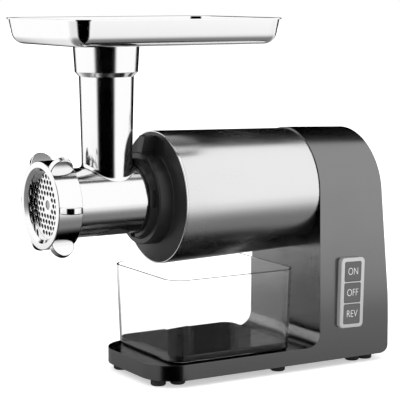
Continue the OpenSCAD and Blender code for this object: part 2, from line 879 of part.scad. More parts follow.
module switch_bezel() {
    color([0.8, 0.8, 0.81]) difference() {
        union() {
            difference() {
                at_panel() panel_block(panel_w, panel_h, bezel_r, bezel_y, -base_w / 2 + 3);
                housing_form(0);
            }
            at_panel() panel_block(panel_w - 5.2, panel_h - 5.2, 1,
                bezel_y, bezel_back_y);
        }
        for (i = [-1 : 1]) at_panel(i * button_pitch)
            cube([button_a + 2 * slide_gap, 400, button_a + 2 * slide_gap], center = true);
    }
    // posts that carry the board
    color([0.8, 0.8, 0.81]) for (s = [-1, 1]) at_panel()
        translate([-3, bezel_back_y, s * (panel_h / 2 - 3.2) - 0.5])
            cube([6, board_y - bezel_back_y, 1]);
}

module button(place) {
    color([0.33, 0.34, 0.35]) at_panel(place * button_pitch) {
        panel_block(button_a, button_a, 1.5, button_y, button_back_y);
        translate([-3, button_back_y, -3]) cube([6, stem_l, 6]);
    }
}

module button_on() { button(1); }
module button_off() { button(0); }
module button_rev() { button(-1); }

module tact_switches() {
    color([0.15, 0.15, 0.16]) for (i = [-1 : 1]) at_panel(i * button_pitch)
        translate([-4.5, tact_y, -4.5]) cube([9, tact_t, 9]);
}

module control_board() {
    color([0.12, 0.35, 0.18]) at_panel() translate([-panel_w / 2, board_y, -panel_h / 2])
        cube([panel_w, board_t, panel_h]);
}

// ---------- grinding head ----------

module grinder_body() {
    feed_z = axis_h + barrel_r;
    color([0.8, 0.8, 0.81]) difference() {
        union() {
            on_axis(head_x) cylinder(h = thread_back_x - head_x, r = thread_r);
            on_axis(head_x) cylinder(h = barrel_back_x - head_x, r = barrel_r);
            translate([feed_x, 0, axis_h]) cylinder(h = barrel_r + eps, r = feed_low_r);
            translate([feed_x, 0, feed_z])
                cylinder(h = collar_z - feed_z, r1 = feed_low_r, r2 = feed_top_r);
            translate([feed_x, 0, collar_z]) {
                cylinder(h = collar_slope_h, r1 = feed_top_r, r2 = collar_low_r);
                translate([0, 0, collar_slope_h])
                    cylinder(h = collar_h - collar_slope_h, r1 = collar_low_r, r2 = collar_r);
            }
        }
        on_axis(head_x - 1) cylinder(h = 200, r = bore_r);
        on_axis(head_x - 1) cylinder(h = plate_x + plate_t - head_x + 1, r = seat_r);
        translate([feed_x, 0, axis_h]) cylinder(h = 200, r = throat_r);
        translate([feed_x, 0, collar_top - skirt_l - 1])
            cylinder(h = skirt_l + 2, r = skirt_seat_r);
        // groove of the plate's key, at the seat's foot
        translate([head_x - 1, -key_a / 2, axis_h - seat_r - key_a / 2])
            cube([plate_x + plate_t - head_x + 1, key_a, key_a]);
        // holes of the lock pins
        round_axis(2) translate([lug_x, 0, 0]) cylinder(h = 60, r = lug_r - 0.5);
    }
}

module lock_pins() {
    color([0.85, 0.85, 0.86]) round_axis(2) translate([lug_x, 0, 0]) intersection() {
        translate([0, 0, bore_r + 0.2]) cylinder(h = lug_out - bore_r - 0.2,
            r = lug_r - 0.5);
        translate([-lug_r, 0, 0]) rotate([0, 90, 0]) cylinder(h = 2 * lug_r, r = lug_out);
    }
}

module auger_bushing() {
    color([0.9, 0.89, 0.85])
        axis_tube(bushing_x, bushing_l, bore_r, auger_journal_r + run_gap);
}

module plate_key() {
    color([0.7, 0.7, 0.71]) translate([head_x, -key_a / 2, axis_h - seat_r - key_a / 2])
        cube([plate_x + plate_t - head_x, key_a, key_a]);
}

module perforated_plate() {
    rows = 5;
    blank_r = 8.5;
    reach = plate_r - 6.2;
    row_step = hole_pitch * sqrt(3) / 2;
    color([0.8, 0.8, 0.81]) difference() {
        on_axis(plate_x) cylinder(h = plate_t, r = plate_r);
        on_axis(plate_x - 1) {
            cylinder(h = plate_t + 2, r = journal_r + run_gap + 0.03);
            for (i = [-rows : rows], j = [-rows : rows]) {
                place = [i * row_step, (j + (i % 2 == 0 ? 0 : 0.5)) * hole_pitch];
                if (norm(place) > blank_r && norm(place) < reach)
                    translate(place) cylinder(h = plate_t + 2, d = hole_d, $fn = 24);
            }
        }
        translate([plate_x - 1, -key_a / 2 - 0.3, axis_h - plate_r - key_a / 2])
            cube([plate_t + 2, key_a + 0.6, key_a + 0.6]);
    }
}

module ring_nut() {
    color([0.82, 0.82, 0.83]) difference() {
        union() {
            on_axis(nut_x) cylinder(h = 1, r1 = nut_r - 1, r2 = nut_r);
            on_axis(nut_x + 1) cylinder(h = nut_l - 1, r = nut_r);
            round_axis(rib_count, 90) translate([nut_x + nut_l / 2, 0, 0])
                rotate([90, 0, 0]) rib();
        }
        on_axis(nut_x - 1) cylinder(h = 80, r = nut_open_r);
        on_axis(nut_x - 1) cylinder(h = 3, r1 = nut_open_r + 3, r2 = nut_open_r);
        on_axis(nut_x + lip_t) cylinder(h = 80, r = nut_bore_r);
    }
}

// Half-round finger rib in the plane of the nut's axis.
module rib() {
    rise = nut_r + rib_h;
    span = nut_l - 2;
    radius = (span * span / 4 + rib_h * rib_h) / (2 * rib_h);
    linear_extrude(height = rib_t, center = true) intersection() {
        translate([0, rise - radius]) circle(r = radius);
        translate([-span / 2, nut_r - 1]) square([span, rib_h + 2]);
    }
}

// Section of the auger's flight: a sector from inside the core out to r, in short chords.
function flight_section(r, angle, steps = 5) =
    concat([[core_r / 2, 0]], [for (i = [0 : steps])
        [r * cos(angle * i / steps), r * sin(angle * i / steps)]],
        [[core_r / 2 * cos(angle), core_r / 2 * sin(angle)]]);

module auger() {
    flight_x = auger_front_x + 1;
    flight_l = auger_back_x - disc_t / 2 - flight_x;
    turns = flight_l / flight_pitch;
    color([0.72, 0.73, 0.75]) {
        on_axis(plate_x + 0.5) cylinder(h = blade_x - plate_x, r = journal_r);
        on_axis(blade_x - 0.2) linear_extrude(height = auger_front_x - blade_x + 1)
            square(shank_a, center = true);
        on_axis(auger_front_x) cylinder(h = auger_back_x - auger_front_x, r = core_r);
        on_axis(auger_back_x - disc_t) cylinder(h = disc_t, r = flight_r);
        on_axis(auger_back_x - eps)
            cylinder(h = barrel_back_x - auger_back_x + 0.5, r = auger_journal_r);
        on_axis(barrel_back_x) linear_extrude(height = drive_l)
            square(drive_a, center = true);
        on_axis(flight_x) linear_extrude(height = flight_l, twist = 360 * turns,
            slices = 44, segments = 8) polygon(flight_section(flight_r - 0.4, 48));
    }
}

module cutting_blade() {
    blade_r = bore_r - 2;
    arm_w = 9;
    color([0.75, 0.75, 0.77]) difference() {
        on_axis(blade_x) intersection() {
            union() {
                cylinder(h = blade_t, r = 10.5);
                for (a = [0, 90]) rotate(a + 20) translate([-blade_r, -arm_w / 2, 0])
                    cube([2 * blade_r, arm_w, blade_t]);
            }
            cylinder(h = blade_t, r = blade_r);
        }
        on_axis(blade_x - 1) linear_extrude(height = blade_t + 2)
            square(shank_a + 0.2, center = true);
    }
}

// ---------- tray and container ----------

module tray() {
    bend_r = 12;
    lip_w = 2.2;
    skirt_r = skirt_seat_r - slide_gap;
    in_h = tray_h - tray_t;
    draft_in = lip_w + tray_t;
    color([0.85, 0.85, 0.86]) translate([feed_x - tray_front + tray_l / 2, 0, tray_z])
        difference() {
            union() {
                pan(tray_l - 2 * lip_w, tray_w - 2 * lip_w, tray_h, tray_corner_r - lip_w,
                    tray_draft, bend_r);
                translate([0, 0, tray_h - tray_t]) linear_extrude(height = tray_t)
                    round_rect(tray_l, tray_w, tray_corner_r);
                translate([tray_front - tray_l / 2, 0, -skirt_l])
                    cylinder(h = skirt_l + tray_t, r = skirt_r);
            }
            translate([0, 0, tray_t]) pan(tray_l - 2 * draft_in, tray_w - 2 * draft_in,
                in_h + eps, tray_corner_r - draft_in, tray_draft, bend_r - tray_t);
            translate([tray_front - tray_l / 2, 0, -skirt_l - 1])
                cylinder(h = skirt_l + 8, r = skirt_r - tray_t);
        }
}

box_corner_r = 17;
box_draft = 2.3;
box_edge_r = 3;
box_x = tower_x - box_gap - box_l / 2;

module container_box() {
    color([0.85, 0.9, 0.93, 0.35]) translate([box_x, 0, box_z]) difference() {
        pan(box_l, box_w, box_h, box_corner_r, box_draft, box_edge_r);
        translate([0, 0, box_t]) pan(box_l - 2 * box_t, box_w - 2 * box_t,
            box_h - box_t + eps, box_corner_r - box_t, box_draft, box_edge_r - 1);
    }
}

module container_insert() {
    inset = box_t + (box_h - box_t - insert_t) * tan(box_draft) + slide_gap;
    color([0.2, 0.2, 0.21]) translate([box_x, 0, box_z + box_t])
        pan(box_l - 2 * inset, box_w - 2 * inset, insert_t, box_corner_r - inset,
            box_draft, box_edge_r);
}

housing();
bottom_cover();
rear_vent_panel();
rubber_feet();
foot_screws();
cable_gland();
motor_sleeve();
sleeve_trim_ring();
front_hub();
hub_screws();
gearbox_case();
gearbox_cover();
output_bearing();
motor_frame();
motor_bracket();
stator_core();
field_coils();
front_bearing();
rear_bearing();
carbon_brushes();
brush_holders();
control_board();
tact_switches();
switch_bezel();
motor_shaft();
motor_pinion();
armature_core();
armature_windings();
commutator();
cooling_fan();
intermediate_shaft();
intermediate_gear();
intermediate_pinion();
output_shaft();
output_gear();
auger();
cutting_blade();
grinder_body();
lock_pins();
auger_bushing();
plate_key();
perforated_plate();
ring_nut();
tray();
container_box();
container_insert();
button_on();
button_off();
button_rev();
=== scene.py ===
# %% [markdown]
# # Electric meat grinder
# A motor in a steel sleeve turns an auger, which pushes meat from the tray through a
# perforated plate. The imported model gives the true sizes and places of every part. This
# lesson rebuilds what shows, with rounded edges, and gives every part its finish.

# %% The fixed frame
import json
import math

import bpy
from mathutils import Matrix, Vector


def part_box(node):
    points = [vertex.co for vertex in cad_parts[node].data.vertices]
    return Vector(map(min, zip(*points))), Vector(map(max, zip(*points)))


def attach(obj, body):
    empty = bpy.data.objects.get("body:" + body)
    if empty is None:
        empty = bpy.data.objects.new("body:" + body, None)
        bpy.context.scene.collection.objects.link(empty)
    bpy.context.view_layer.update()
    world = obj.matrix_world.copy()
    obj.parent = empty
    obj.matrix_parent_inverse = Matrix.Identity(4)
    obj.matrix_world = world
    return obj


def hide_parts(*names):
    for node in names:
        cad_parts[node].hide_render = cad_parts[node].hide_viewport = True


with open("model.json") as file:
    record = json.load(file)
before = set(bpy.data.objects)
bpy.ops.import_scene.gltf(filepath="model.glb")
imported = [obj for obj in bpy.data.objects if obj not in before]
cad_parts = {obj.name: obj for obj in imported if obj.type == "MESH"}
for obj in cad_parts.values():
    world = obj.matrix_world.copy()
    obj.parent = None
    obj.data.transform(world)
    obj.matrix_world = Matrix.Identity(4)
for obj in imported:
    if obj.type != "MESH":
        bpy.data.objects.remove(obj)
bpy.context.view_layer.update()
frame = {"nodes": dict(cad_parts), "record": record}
nodes = frame["nodes"]
scene = bpy.context.scene
MM = 0.001

# %% [markdown]
# ## Camera
# A long lens some way off keeps the machine's long axis from tapering much. The camera is
# placed by its angle round the object and its height above the table, and looks at one point.

# %% Camera
AZIMUTH, ELEVATION, DISTANCE = math.radians(-30.63), math.radians(7.594), 1.47504
TARGET = Vector((-0.00631, 0, 0.16035))
to_camera = Vector((math.sin(AZIMUTH) * math.cos(ELEVATION),
                    -math.cos(AZIMUTH) * math.cos(ELEVATION), math.sin(ELEVATION)))
camera_data = bpy.data.cameras.new("camera")
camera_data.lens, camera_data.sensor_width = 142.305, 36
camera = bpy.data.objects.new("camera", camera_data)
camera.location = TARGET + DISTANCE * to_camera
camera.rotation_euler = to_camera.to_track_quat("Z", "Y").to_euler()
scene.collection.objects.link(camera)
scene.camera = camera
scene.view_settings.view_transform = "Standard"
print("camera at", [round(v, 3) for v in camera.location])

# %% [markdown]
# ## Node trees in code
# The Shader Editor joins boxes by hand. The same boxes can be made in code, and a few
# short helpers keep that readable: one adds a node, one does arithmetic, one maps a range.

# %% Helpers for node trees
def node(tree, kind, inputs=(), **settings):
    """Adds a shader node. inputs pairs a socket with a value or with another socket."""
    made = tree.nodes.new("ShaderNode" + kind)
    for key, value in settings.items():
        setattr(made, key, value)
    for socket, value in dict(inputs).items():
        if isinstance(value, bpy.types.NodeSocket):
            tree.links.new(value, made.inputs[socket])
        else:
            made.inputs[socket].default_value = value
    return made


def math_node(tree, operation, a, b=0.0):
    """One arithmetic step on two numbers or sockets."""
    return node(tree, "Math", {0: a, 1: b}, operation=operation).outputs[0]


def reflected(tree):
    """1 for rays that a polished face reflects, also when they then leave through clear
    plastic, and 0 for all others."""
    rays = node(tree, "LightPath").outputs
    matt = math_node(tree, "SUBTRACT", 1.0, rays["Is Diffuse Ray"])
    return math_node(tree, "MULTIPLY", math_node(tree, "MINIMUM", rays["Glossy Depth"], 1.0),
                     matt)


def ramp(tree, value, low, high, at_low, at_high):
    """Maps value smoothly from low..high to at_low..at_high."""
    made = node(tree, "MapRange", {"Value": value, "From Min": low, "From Max": high,
                                   "To Min": at_low, "To Max": at_high},
                interpolation_type="SMOOTHSTEP")
    return made.outputs["Result"]


def towards_camera(tree, place):
    """How far a place lies on the camera's side: 1 in its direction, -1 behind."""
    flat = node(tree, "VectorMath", {0: place, 1: (1, 1, 0)}, operation="MULTIPLY").outputs[0]
    flat = node(tree, "VectorMath", {0: flat}, operation="NORMALIZE").outputs[0]
    return node(tree, "VectorMath", {0: flat, 1: (to_camera.x, to_camera.y, 0)},
                operation="DOT_PRODUCT").outputs["Value"]


# %% [markdown]
# ## Tent
# Polished steel shows the room and not itself, so the room is the real light. A white tent
# stands to both sides of the machine. Polished parts see it broken by two dark gaps, one
# on the camera's side and one behind the object, which draw the black stripes and thin
# dark outlines that chrome has in a product shot. The rear gap ends at the horizon, and
# the table carries it on. Matt parts see even white light. The
# render can also aim light straight at the world, but that path can't tell a polished face
# from a matt one, so this sampling is switched off here.

# %% The tent
TENT_GLOW = 1.06
world = bpy.data.worlds.new("tent")
scene.world = world
world.cycles.sampling_method = "NONE"
world.use_nodes = True
sky = world.node_tree
sky.nodes.clear()
place = node(sky, "TexCoord").outputs["Generated"]
facing = towards_camera(sky, place)
height = node(sky, "SeparateXYZ", {0: place}).outputs["Z"]
gap_front = ramp(sky, facing, 0.72, 0.85, 1, 0)
gap_behind = ramp(sky, facing, -0.74, -0.58, 0, 1)
below = ramp(sky, height, -0.06, 0, 1, 0)
gap_behind = math_node(sky, "MAXIMUM", gap_behind, below)
gap_high = ramp(sky, height, 0.8, 0.94, 0, 1)
tent = math_node(sky, "MULTIPLY", gap_front, gap_behind)
tent = math_node(sky, "MAXIMUM", tent, gap_high)
polished = node(sky, "Background", {"Color": (1, 1, 1, 1), "Strength":
                math_node(sky, "MULTIPLY", tent, TENT_GLOW)}).outputs[0]
even = node(sky, "Background", {"Color": (1, 1, 1, 1), "Strength": 1.0}).outputs[0]
mixed = node(sky, "MixShader", {0: reflected(sky), 1: even, 2: polished}).outputs[0]
node(sky, "OutputWorld", {"Surface": mixed})

# %% [markdown]
# ## Table
# The machine stands on white paper. Chrome would see it as one bright sheet and lose its
# shape, so reflections look through the paper to the tent, dimmed near the machine. At a
# grazing angle the paper has a sheen, which Layer Weight gives. Further off lies a dark
# strip, which carries on the rear gap. The table isn't sampled as a lamp either.

# %% The table
bpy.ops.object.select_all(action="DESELECT")
bpy.ops.mesh.primitive_circle_add(vertices=64, radius=14, fill_type="NGON")
table = bpy.context.object
table.name = "table"
paper = bpy.data.materials.new("paper")
paper.use_nodes = True
paper.cycles.emission_sampling = "NONE"
tree = paper.node_tree
tree.nodes.clear()
spot = node(tree, "TexCoord").outputs["Object"]
reach = node(tree, "VectorMath", {0: spot, 1: (0.55, 1, 0)}, operation="MULTIPLY").outputs[0]
reach = node(tree, "VectorMath", {0: reach}, operation="LENGTH").outputs["Value"]
glow = math_node(tree, "ADD", ramp(tree, reach, 0.08, 0.16, 0, 0.2),
                 ramp(tree, reach, 0.2, 0.55, 0, 0.65))
grazing = node(tree, "LayerWeight", {"Blend": 0.5}).outputs["Facing"]
glow = math_node(tree, "MAXIMUM", glow, ramp(tree, grazing, 0.65, 0.9, 0, 0.6))
glow = math_node(tree, "DIVIDE", glow, TENT_GLOW)
dimmed = node(tree, "BsdfTransparent", {"Color": glow}).outputs[0]
rear = ramp(tree, towards_camera(tree, spot), -0.74, -0.58, 0, 1)
clear = node(tree, "BsdfTransparent", {"Color": rear}).outputs[0]
seen = node(tree, "MixShader", {0: ramp(tree, reach, 0.6, 1.0, 0, 1), 1: dimmed,
                                2: clear}).outputs[0]
white = node(tree, "BsdfPrincipled", {"Base Color": (0.93, 0.93, 0.93, 1), "Roughness": 0.9,
             "Specular IOR Level": 0.0, "Emission Color": (1, 1, 1, 1),
             "Emission Strength": 0.5}).outputs[0]
out = node(tree, "MixShader", {0: reflected(tree), 1: white, 2: seen}).outputs[0]
node(tree, "OutputMaterial", {"Surface": out})
table.data.materials.append(paper)

# %% [markdown]
# ## Key light
# One large soft lamp from the upper left gives the matt parts a little direction. A
# lamp's mirror image would be a hard square in the chrome, so reflections don't see it.

# %% A soft key light
key_data = bpy.data.lights.new("key", "AREA")
key_data.energy, key_data.size = 8, 1.2
key = bpy.data.objects.new("key", key_data)
key.location = (-1.4, -0.9, 1.6)
key.rotation_euler = (key.location - TARGET).to_track_quat("Z", "Y").to_euler()
key.visible_glossy = False
scene.collection.objects.link(key)
print("studio ready")

# %% [markdown]
# ## Finishes
# Real surfaces are never one flat value. Cast and moulded parts have a fine grain, rolled
# sheet has faint lines, and handling leaves smudges that only change the gloss. Grain and
# smudges are one node group, placed in every material with its own strength, and the
# lines are added to the materials that ask for them.

# %% The surface group: grain and smudges
def group(name, inputs, outputs):
    """A shader node group with named sockets, and its two end nodes."""
    made = bpy.data.node_groups.new(name, "ShaderNodeTree")
    for socket, kind, value in inputs:
        made.interface.new_socket(socket, in_out="INPUT", socket_type=kind)
        made.interface.items_tree[socket].default_value = value
    for socket, kind in outputs:
        made.interface.new_socket(socket, in_out="OUTPUT", socket_type=kind)
    return made, made.nodes.new("NodeGroupInput"), made.nodes.new("NodeGroupOutput")


NUMBER, COLOUR = "NodeSocketFloat", "NodeSocketColor"
surface, ends, result = group(
    "surface", [("Colour", COLOUR, (0.5, 0.5, 0.5, 1)), ("Roughness", NUMBER, 0.3),
                ("Grain size", NUMBER, 900.0), ("Grain", NUMBER, 0.2),
                ("Smudge", NUMBER, 0.1), ("Mottle", NUMBER, 0.1)],
    [("Colour", COLOUR), ("Roughness", NUMBER), ("Height", NUMBER)])
spot = node(surface, "TexCoord").outputs["Object"]
fine = node(surface, "TexNoise", {"Vector": spot, "Scale": ends.outputs["Grain size"],
            "Detail": 3.0, "Roughness": 0.6}).outputs["Fac"]
broad = node(surface, "TexNoise", {"Vector": spot, "Scale": 24.0, "Detail": 4.0,
             "Roughness": 0.55}).outputs["Fac"]
swipe = node(surface, "TexNoise", {"Vector": node(surface, "Mapping", {
             "Vector": spot, "Rotation": (0.4, 0.7, 0.2), "Scale": (1, 5, 1)}).outputs[0],
             "Scale": 11.0, "Detail": 2.0}).outputs["Fac"]
shift = math_node(surface, "MULTIPLY", math_node(surface, "SUBTRACT", broad, 0.5),
                  ends.outputs["Mottle"])
shade = math_node(surface, "ADD", 1.0, shift)
tinted = node(surface, "VectorMath", {0: ends.outputs["Colour"], "Scale": shade},
              operation="SCALE").outputs[0]
marks = math_node(surface, "MULTIPLY", ramp(surface, swipe, 0.45, 0.7, 0, 1),
                  ends.outputs["Smudge"])
specks = math_node(surface, "MULTIPLY", math_node(surface, "SUBTRACT", fine, 0.5),
                   math_node(surface, "MULTIPLY", ends.outputs["Grain"], 0.25))
rough = math_node(surface, "ADD", ends.outputs["Roughness"],
                  math_node(surface, "ADD", marks, specks))
lift = math_node(surface, "MULTIPLY", fine, ends.outputs["Grain"])
for socket, value in (("Colour", tinted), ("Roughness", rough), ("Height", lift)):
    surface.links.new(value, result.inputs[socket])

# %% One maker for all the finishes
FLAT = {"grain_size": 900.0, "grain": 0.2, "smudge": 0.06, "mottle": 0.08, "bump": 0.02}


def finish(name, colour, roughness, metal=0.0, lines=None, plain=(), **strengths):
    """A Principled material fed by the surface group. lines adds rolled or turned lines
    across an axis. plain holds numbers that are set on the shader itself."""
    use = {**FLAT, **strengths}
    made = bpy.data.materials.new(name)
    made.use_nodes = True
    tree = made.node_tree
    shader = tree.nodes["Principled BSDF"]
    skin = tree.nodes.new("ShaderNodeGroup")
    skin.node_tree = surface
    skin.inputs["Colour"].default_value = (*colour, 1)
    skin.inputs["Roughness"].default_value = roughness
    skin.inputs["Grain size"].default_value = use["grain_size"]
    skin.inputs["Grain"].default_value = use["grain"]
    skin.inputs["Smudge"].default_value = use["smudge"]
    skin.inputs["Mottle"].default_value = use["mottle"]
    height = skin.outputs["Height"]
    if lines:
        spot = node(tree, "TexCoord").outputs["Object"]
        across = node(tree, "Mapping", {"Vector": spot, "Scale": lines}).outputs[0]
        streaks = node(tree, "TexNoise", {"Vector": across, "Scale": 1.0, "Detail": 3.0,
                                          "Roughness": 0.7}).outputs["Fac"]
        height = math_node(tree, "ADD", height, streaks)
    bump = node(tree, "Bump", {"Height": height, "Strength": use["bump"],
                               "Distance": 0.001}).outputs[0]
    tree.links.new(skin.outputs["Colour"], shader.inputs["Base Color"])
    tree.links.new(skin.outputs["Roughness"], shader.inputs["Roughness"])
    tree.links.new(bump, shader.inputs["Normal"])
    shader.inputs["Metallic"].default_value = metal
    for socket, value in dict(plain).items():
        shader.inputs[socket].default_value = value
    return made


# %% The finishes, named as the record's slots
FINISHES = {
    "housing_grey": finish("housing_grey", (0.24, 0.24, 0.24), 0.2, 1.0, mottle=0.03),
    "black_plastic": finish("black_plastic", (0.011, 0.011, 0.011), 0.3, grain=0.4,
                            bump=0.03),
    "rubber": finish("rubber", (0.02, 0.02, 0.02), 0.75, grain=0.8, bump=0.1),
    "zinc_screw": finish("zinc_screw", (0.6, 0.6, 0.62), 0.3, 1.0),
    "sleeve_steel": finish("sleeve_steel", (0.78, 0.78, 0.78), 0.22, 1.0, mottle=0.02,
                           lines=(2500, 12, 12), bump=0.008),
    "polished_steel": finish("polished_steel", (0.93, 0.93, 0.93), 0.1, 1.0,
                             mottle=0.02, smudge=0.03, bump=0.004),
    "polished_cast": finish("polished_cast", (0.93, 0.93, 0.93), 0.13, 1.0, mottle=0.02,
                            smudge=0.04, bump=0.006),
    "cast_alloy": finish("cast_alloy", (0.5, 0.5, 0.52), 0.45, 1.0, grain=1.0, bump=0.2),
    "bronze": finish("bronze", (0.5, 0.34, 0.16), 0.35, 1.0),
    "lamination": finish("lamination", (0.3, 0.31, 0.33), 0.4, 1.0,
                         lines=(2000, 0, 0), bump=0.3),
    "copper": finish("copper", (0.72, 0.3, 0.13), 0.3, 1.0, grain=0.6, bump=0.2),
    "bearing_steel": finish("bearing_steel", (0.66, 0.66, 0.68), 0.2, 1.0),
    "carbon": finish("carbon", (0.03, 0.03, 0.03), 0.6, grain=0.8, bump=0.1),
    "board_green": finish("board_green", (0.02, 0.12, 0.05), 0.35),
    "silver_trim": finish("silver_trim", (0.6, 0.6, 0.6), 0.3, 0.5, mottle=0.03),
    "gear_steel": finish("gear_steel", (0.5, 0.5, 0.52), 0.35, 1.0),
    "gear_nylon": finish("gear_nylon", (0.75, 0.72, 0.62), 0.4),
    "blade_steel": finish("blade_steel", (0.68, 0.68, 0.7), 0.2, 1.0,
                          lines=(12, 1800, 1800), bump=0.02),
    "gloss_black": finish("gloss_black", (0.012, 0.012, 0.012), 0.06, smudge=0.03,
                          bump=0.004),
    "button_grey": finish("button_grey", (0.1, 0.1, 0.102), 0.4, grain=0.5,
                          bump=0.04),
}
clear_plastic = finish("clear_plastic", (0.99, 0.99, 0.99), 0.02, smudge=0.02, bump=0.003,
                       mottle=0.01, plain={"Transmission Weight": 1.0, "IOR": 1.42})
FINISHES["clear_plastic"] = clear_plastic
print("finishes:", len(FINISHES))

# %% CAD nodes take the finish of their slot
slots = {sub["node"]: sub["material_slot"] for sub in frame["record"]["subparts"]}
for name, part in nodes.items():
    part.data.materials.clear()
    part.data.materials.append(FINISHES[slots[name]])
print("finishes given to", len(nodes), "nodes")

# %% [markdown]
# ## How pieces are modelled
# Most of this machine is either turned round an axis, like the sleeve and the nut, or
# pressed and moulded with an outline that stays the same along one direction. So two
# helpers draw an outline point by point with the extrude operator, and then spin it or
# extrude it. Corners get their real radius in the outline, because a sharp edge never
# catches a highlight and gives a model away.

# %% Selecting and editing
def only(*pieces):
    """Selects just these objects and makes the last one active."""
    bpy.ops.object.select_all(action="DESELECT")
    for piece in pieces:
        piece.select_set(True)
    bpy.context.view_layer.objects.active = pieces[-1]


def edit(piece, mode="VERT"):
    only(piece)
    bpy.ops.object.mode_set(mode="EDIT")
    bpy.ops.mesh.select_mode(type=mode)


def leave():
    bpy.ops.object.mode_set(mode="OBJECT")


def settle(piece):
    """Puts the object at the origin, with its place in its mesh."""
    only(piece)
    bpy.ops.object.transform_apply(location=True, rotation=True, scale=True)
    return piece


def clean(piece, gap=2e-6):
    """Merges doubled points and turns every face outwards."""
    edit(piece)
    bpy.ops.mesh.select_all(action="SELECT")
    bpy.ops.mesh.remove_doubles(threshold=gap)
    bpy.ops.mesh.normals_make_consistent(inside=False)
    leave()
    return piece


# %% Outlines with round corners
def rounded(corners, steps=5):
    """Points of a closed outline. A corner is (u, v), or (u, v, radius)."""
    points = []
    for i, (u, v, *radius) in enumerate(corners):
        here = Vector((u, v))
        if not radius:
            points.append(here)
            continue
        back = (Vector(corners[i - 1][:2]) - here).normalized()
        ahead = (Vector(corners[(i + 1) % len(corners)][:2]) - here).normalized()
        half = back.angle(ahead) / 2
        middle = here + (back + ahead).normalized() * radius[0] / math.sin(half)
        spoke = here + back * radius[0] / math.tan(half) - middle
        turn = math.copysign(math.pi - 2 * half, ahead.cross(back))
        for k in range(steps + 1):
            points.append(middle + Matrix.Rotation(turn * k / steps, 2) @ spoke)
    return points


def draw(name, points):
    """A closed chain of points, extruded one after another from a single vertex."""
    bpy.ops.object.select_all(action="DESELECT")
    bpy.ops.mesh.primitive_plane_add(size=0.001, location=points[0])
    piece = bpy.context.object
    piece.name = piece.data.name = name
    bpy.ops.object.mode_set(mode="EDIT")
    bpy.ops.mesh.select_mode(type="VERT")
    bpy.ops.mesh.merge(type="CENTER")
    here = points[0]
    for point in [*points[1:], points[0]]:
        bpy.ops.mesh.extrude_region_move(
            TRANSFORM_OT_translate={"value": Vector(point) - Vector(here)})
        here = point
    leave()
    return settle(piece)


# %% Spinning and extruding an outline
sleeve_low, sleeve_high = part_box("motor_sleeve")
AXIS_Z = (sleeve_low.z + sleeve_high.z) / 2 / MM
AXES = {"X": Vector((1, 0, 0)), "Y": Vector((0, 1, 0)), "Z": Vector((0, 0, 1))}


def turned(name, outline, axis="X", centre=None, segments=128):
    """Spins an outline of (place along the axis, radius) in mm into a solid. The centre is
    a point of the axis, and the auger's own axis if none is given."""
    centre = Vector((0, 0, AXIS_Z)) * MM if centre is None else Vector(centre) * MM
    out = AXES["X"] if axis == "Z" else AXES["Z"]
    points = [centre + AXES[axis] * (a * MM) + out * (r * MM) for a, r in outline]
    piece = draw(name, points)
    edit(piece)
    bpy.ops.mesh.select_all(action="SELECT")
    bpy.ops.mesh.spin(steps=segments, angle=2 * math.pi, center=centre, axis=AXES[axis],
                      dupli=False)
    leave()
    return clean(piece)


def swept(name, outline, axis, start, end):
    """Fills an outline in mm and extrudes it from start to end along an axis."""
    order = {"X": (2, 0, 1), "Y": (0, 2, 1), "Z": (0, 1, 2)}[axis]
    points = []
    for u, v in outline:
        flat = (u * MM, v * MM, start * MM)
        points.append(Vector([flat[i] for i in order]))
    piece = clean(draw(name, points))
    edit(piece)
    bpy.ops.mesh.select_all(action="SELECT")
    bpy.ops.mesh.edge_face_add()
    bpy.ops.mesh.extrude_region_move(
        TRANSFORM_OT_translate={"value": AXES[axis] * ((end - start) * MM)})
    leave()
    return clean(piece)


# %% Cutting, joining and rounding
def modify(piece, kind, **settings):
    """Adds a modifier and applies it at once."""
    only(piece)
    made = piece.modifiers.new(kind.lower(), kind)
    for key, value in settings.items():
        setattr(made, key, value)
    bpy.ops.object.modifier_apply(modifier=made.name)
    return piece


def carve(piece, *tools, how="DIFFERENCE"):
    """Cuts, unites or intersects with the tools, which are used up."""
    for tool in tools:
        modify(piece, "BOOLEAN", object=tool, operation=how, solver="EXACT")
        bpy.data.objects.remove(tool)
    return piece


def soften(piece, width, segments=3, angle=32):
    """Rounds the edges that turn by more than the angle. Width in mm."""
    return modify(piece, "BEVEL", width=width * MM, segments=segments,
                  limit_method="ANGLE", angle_limit=math.radians(angle))


def copies(piece, places):
    """One object that holds a copy of the piece at each place."""
    made = []
    for place in places:
        twin = piece.copy()
        twin.data = piece.data.copy()
        twin.data.transform(place)
        scene.collection.objects.link(twin)
        made.append(twin)
    bpy.data.objects.remove(piece)
    only(*made)
    bpy.ops.object.join()
    return bpy.context.object


def about(angle, axis, centre):
    """A turn in degrees about a line through centre, in mm."""
    middle = Vector(centre) * MM
    return (Matrix.Translation(middle) @ Matrix.Rotation(math.radians(angle), 4, axis)
            @ Matrix.Translation(-middle))


def ready(piece, name, body, slot, *replaced, smooth=32, material=None):
    """Shades the piece, gives it its finish, and ties it to its body."""
    piece.name = piece.data.name = name
    only(piece)
    bpy.ops.object.shade_smooth_by_angle(angle=math.radians(smooth))
    modify(piece, "WEIGHTED_NORMAL", keep_sharp=True)
    piece.data.materials.clear()
    piece.data.materials.append(material or FINISHES[slot])
    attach(piece, body)
    if replaced:
        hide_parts(*replaced)
    print(f"{name}: {len(piece.data.polygons)} faces")
    return piece


# %% [markdown]
# ## Sleeve
# The sleeve is a steel sheet rolled into a slightly tapered tube. It could be a cylinder
# with its faces deleted, but a spun outline also gives the wall and its rounded rims.

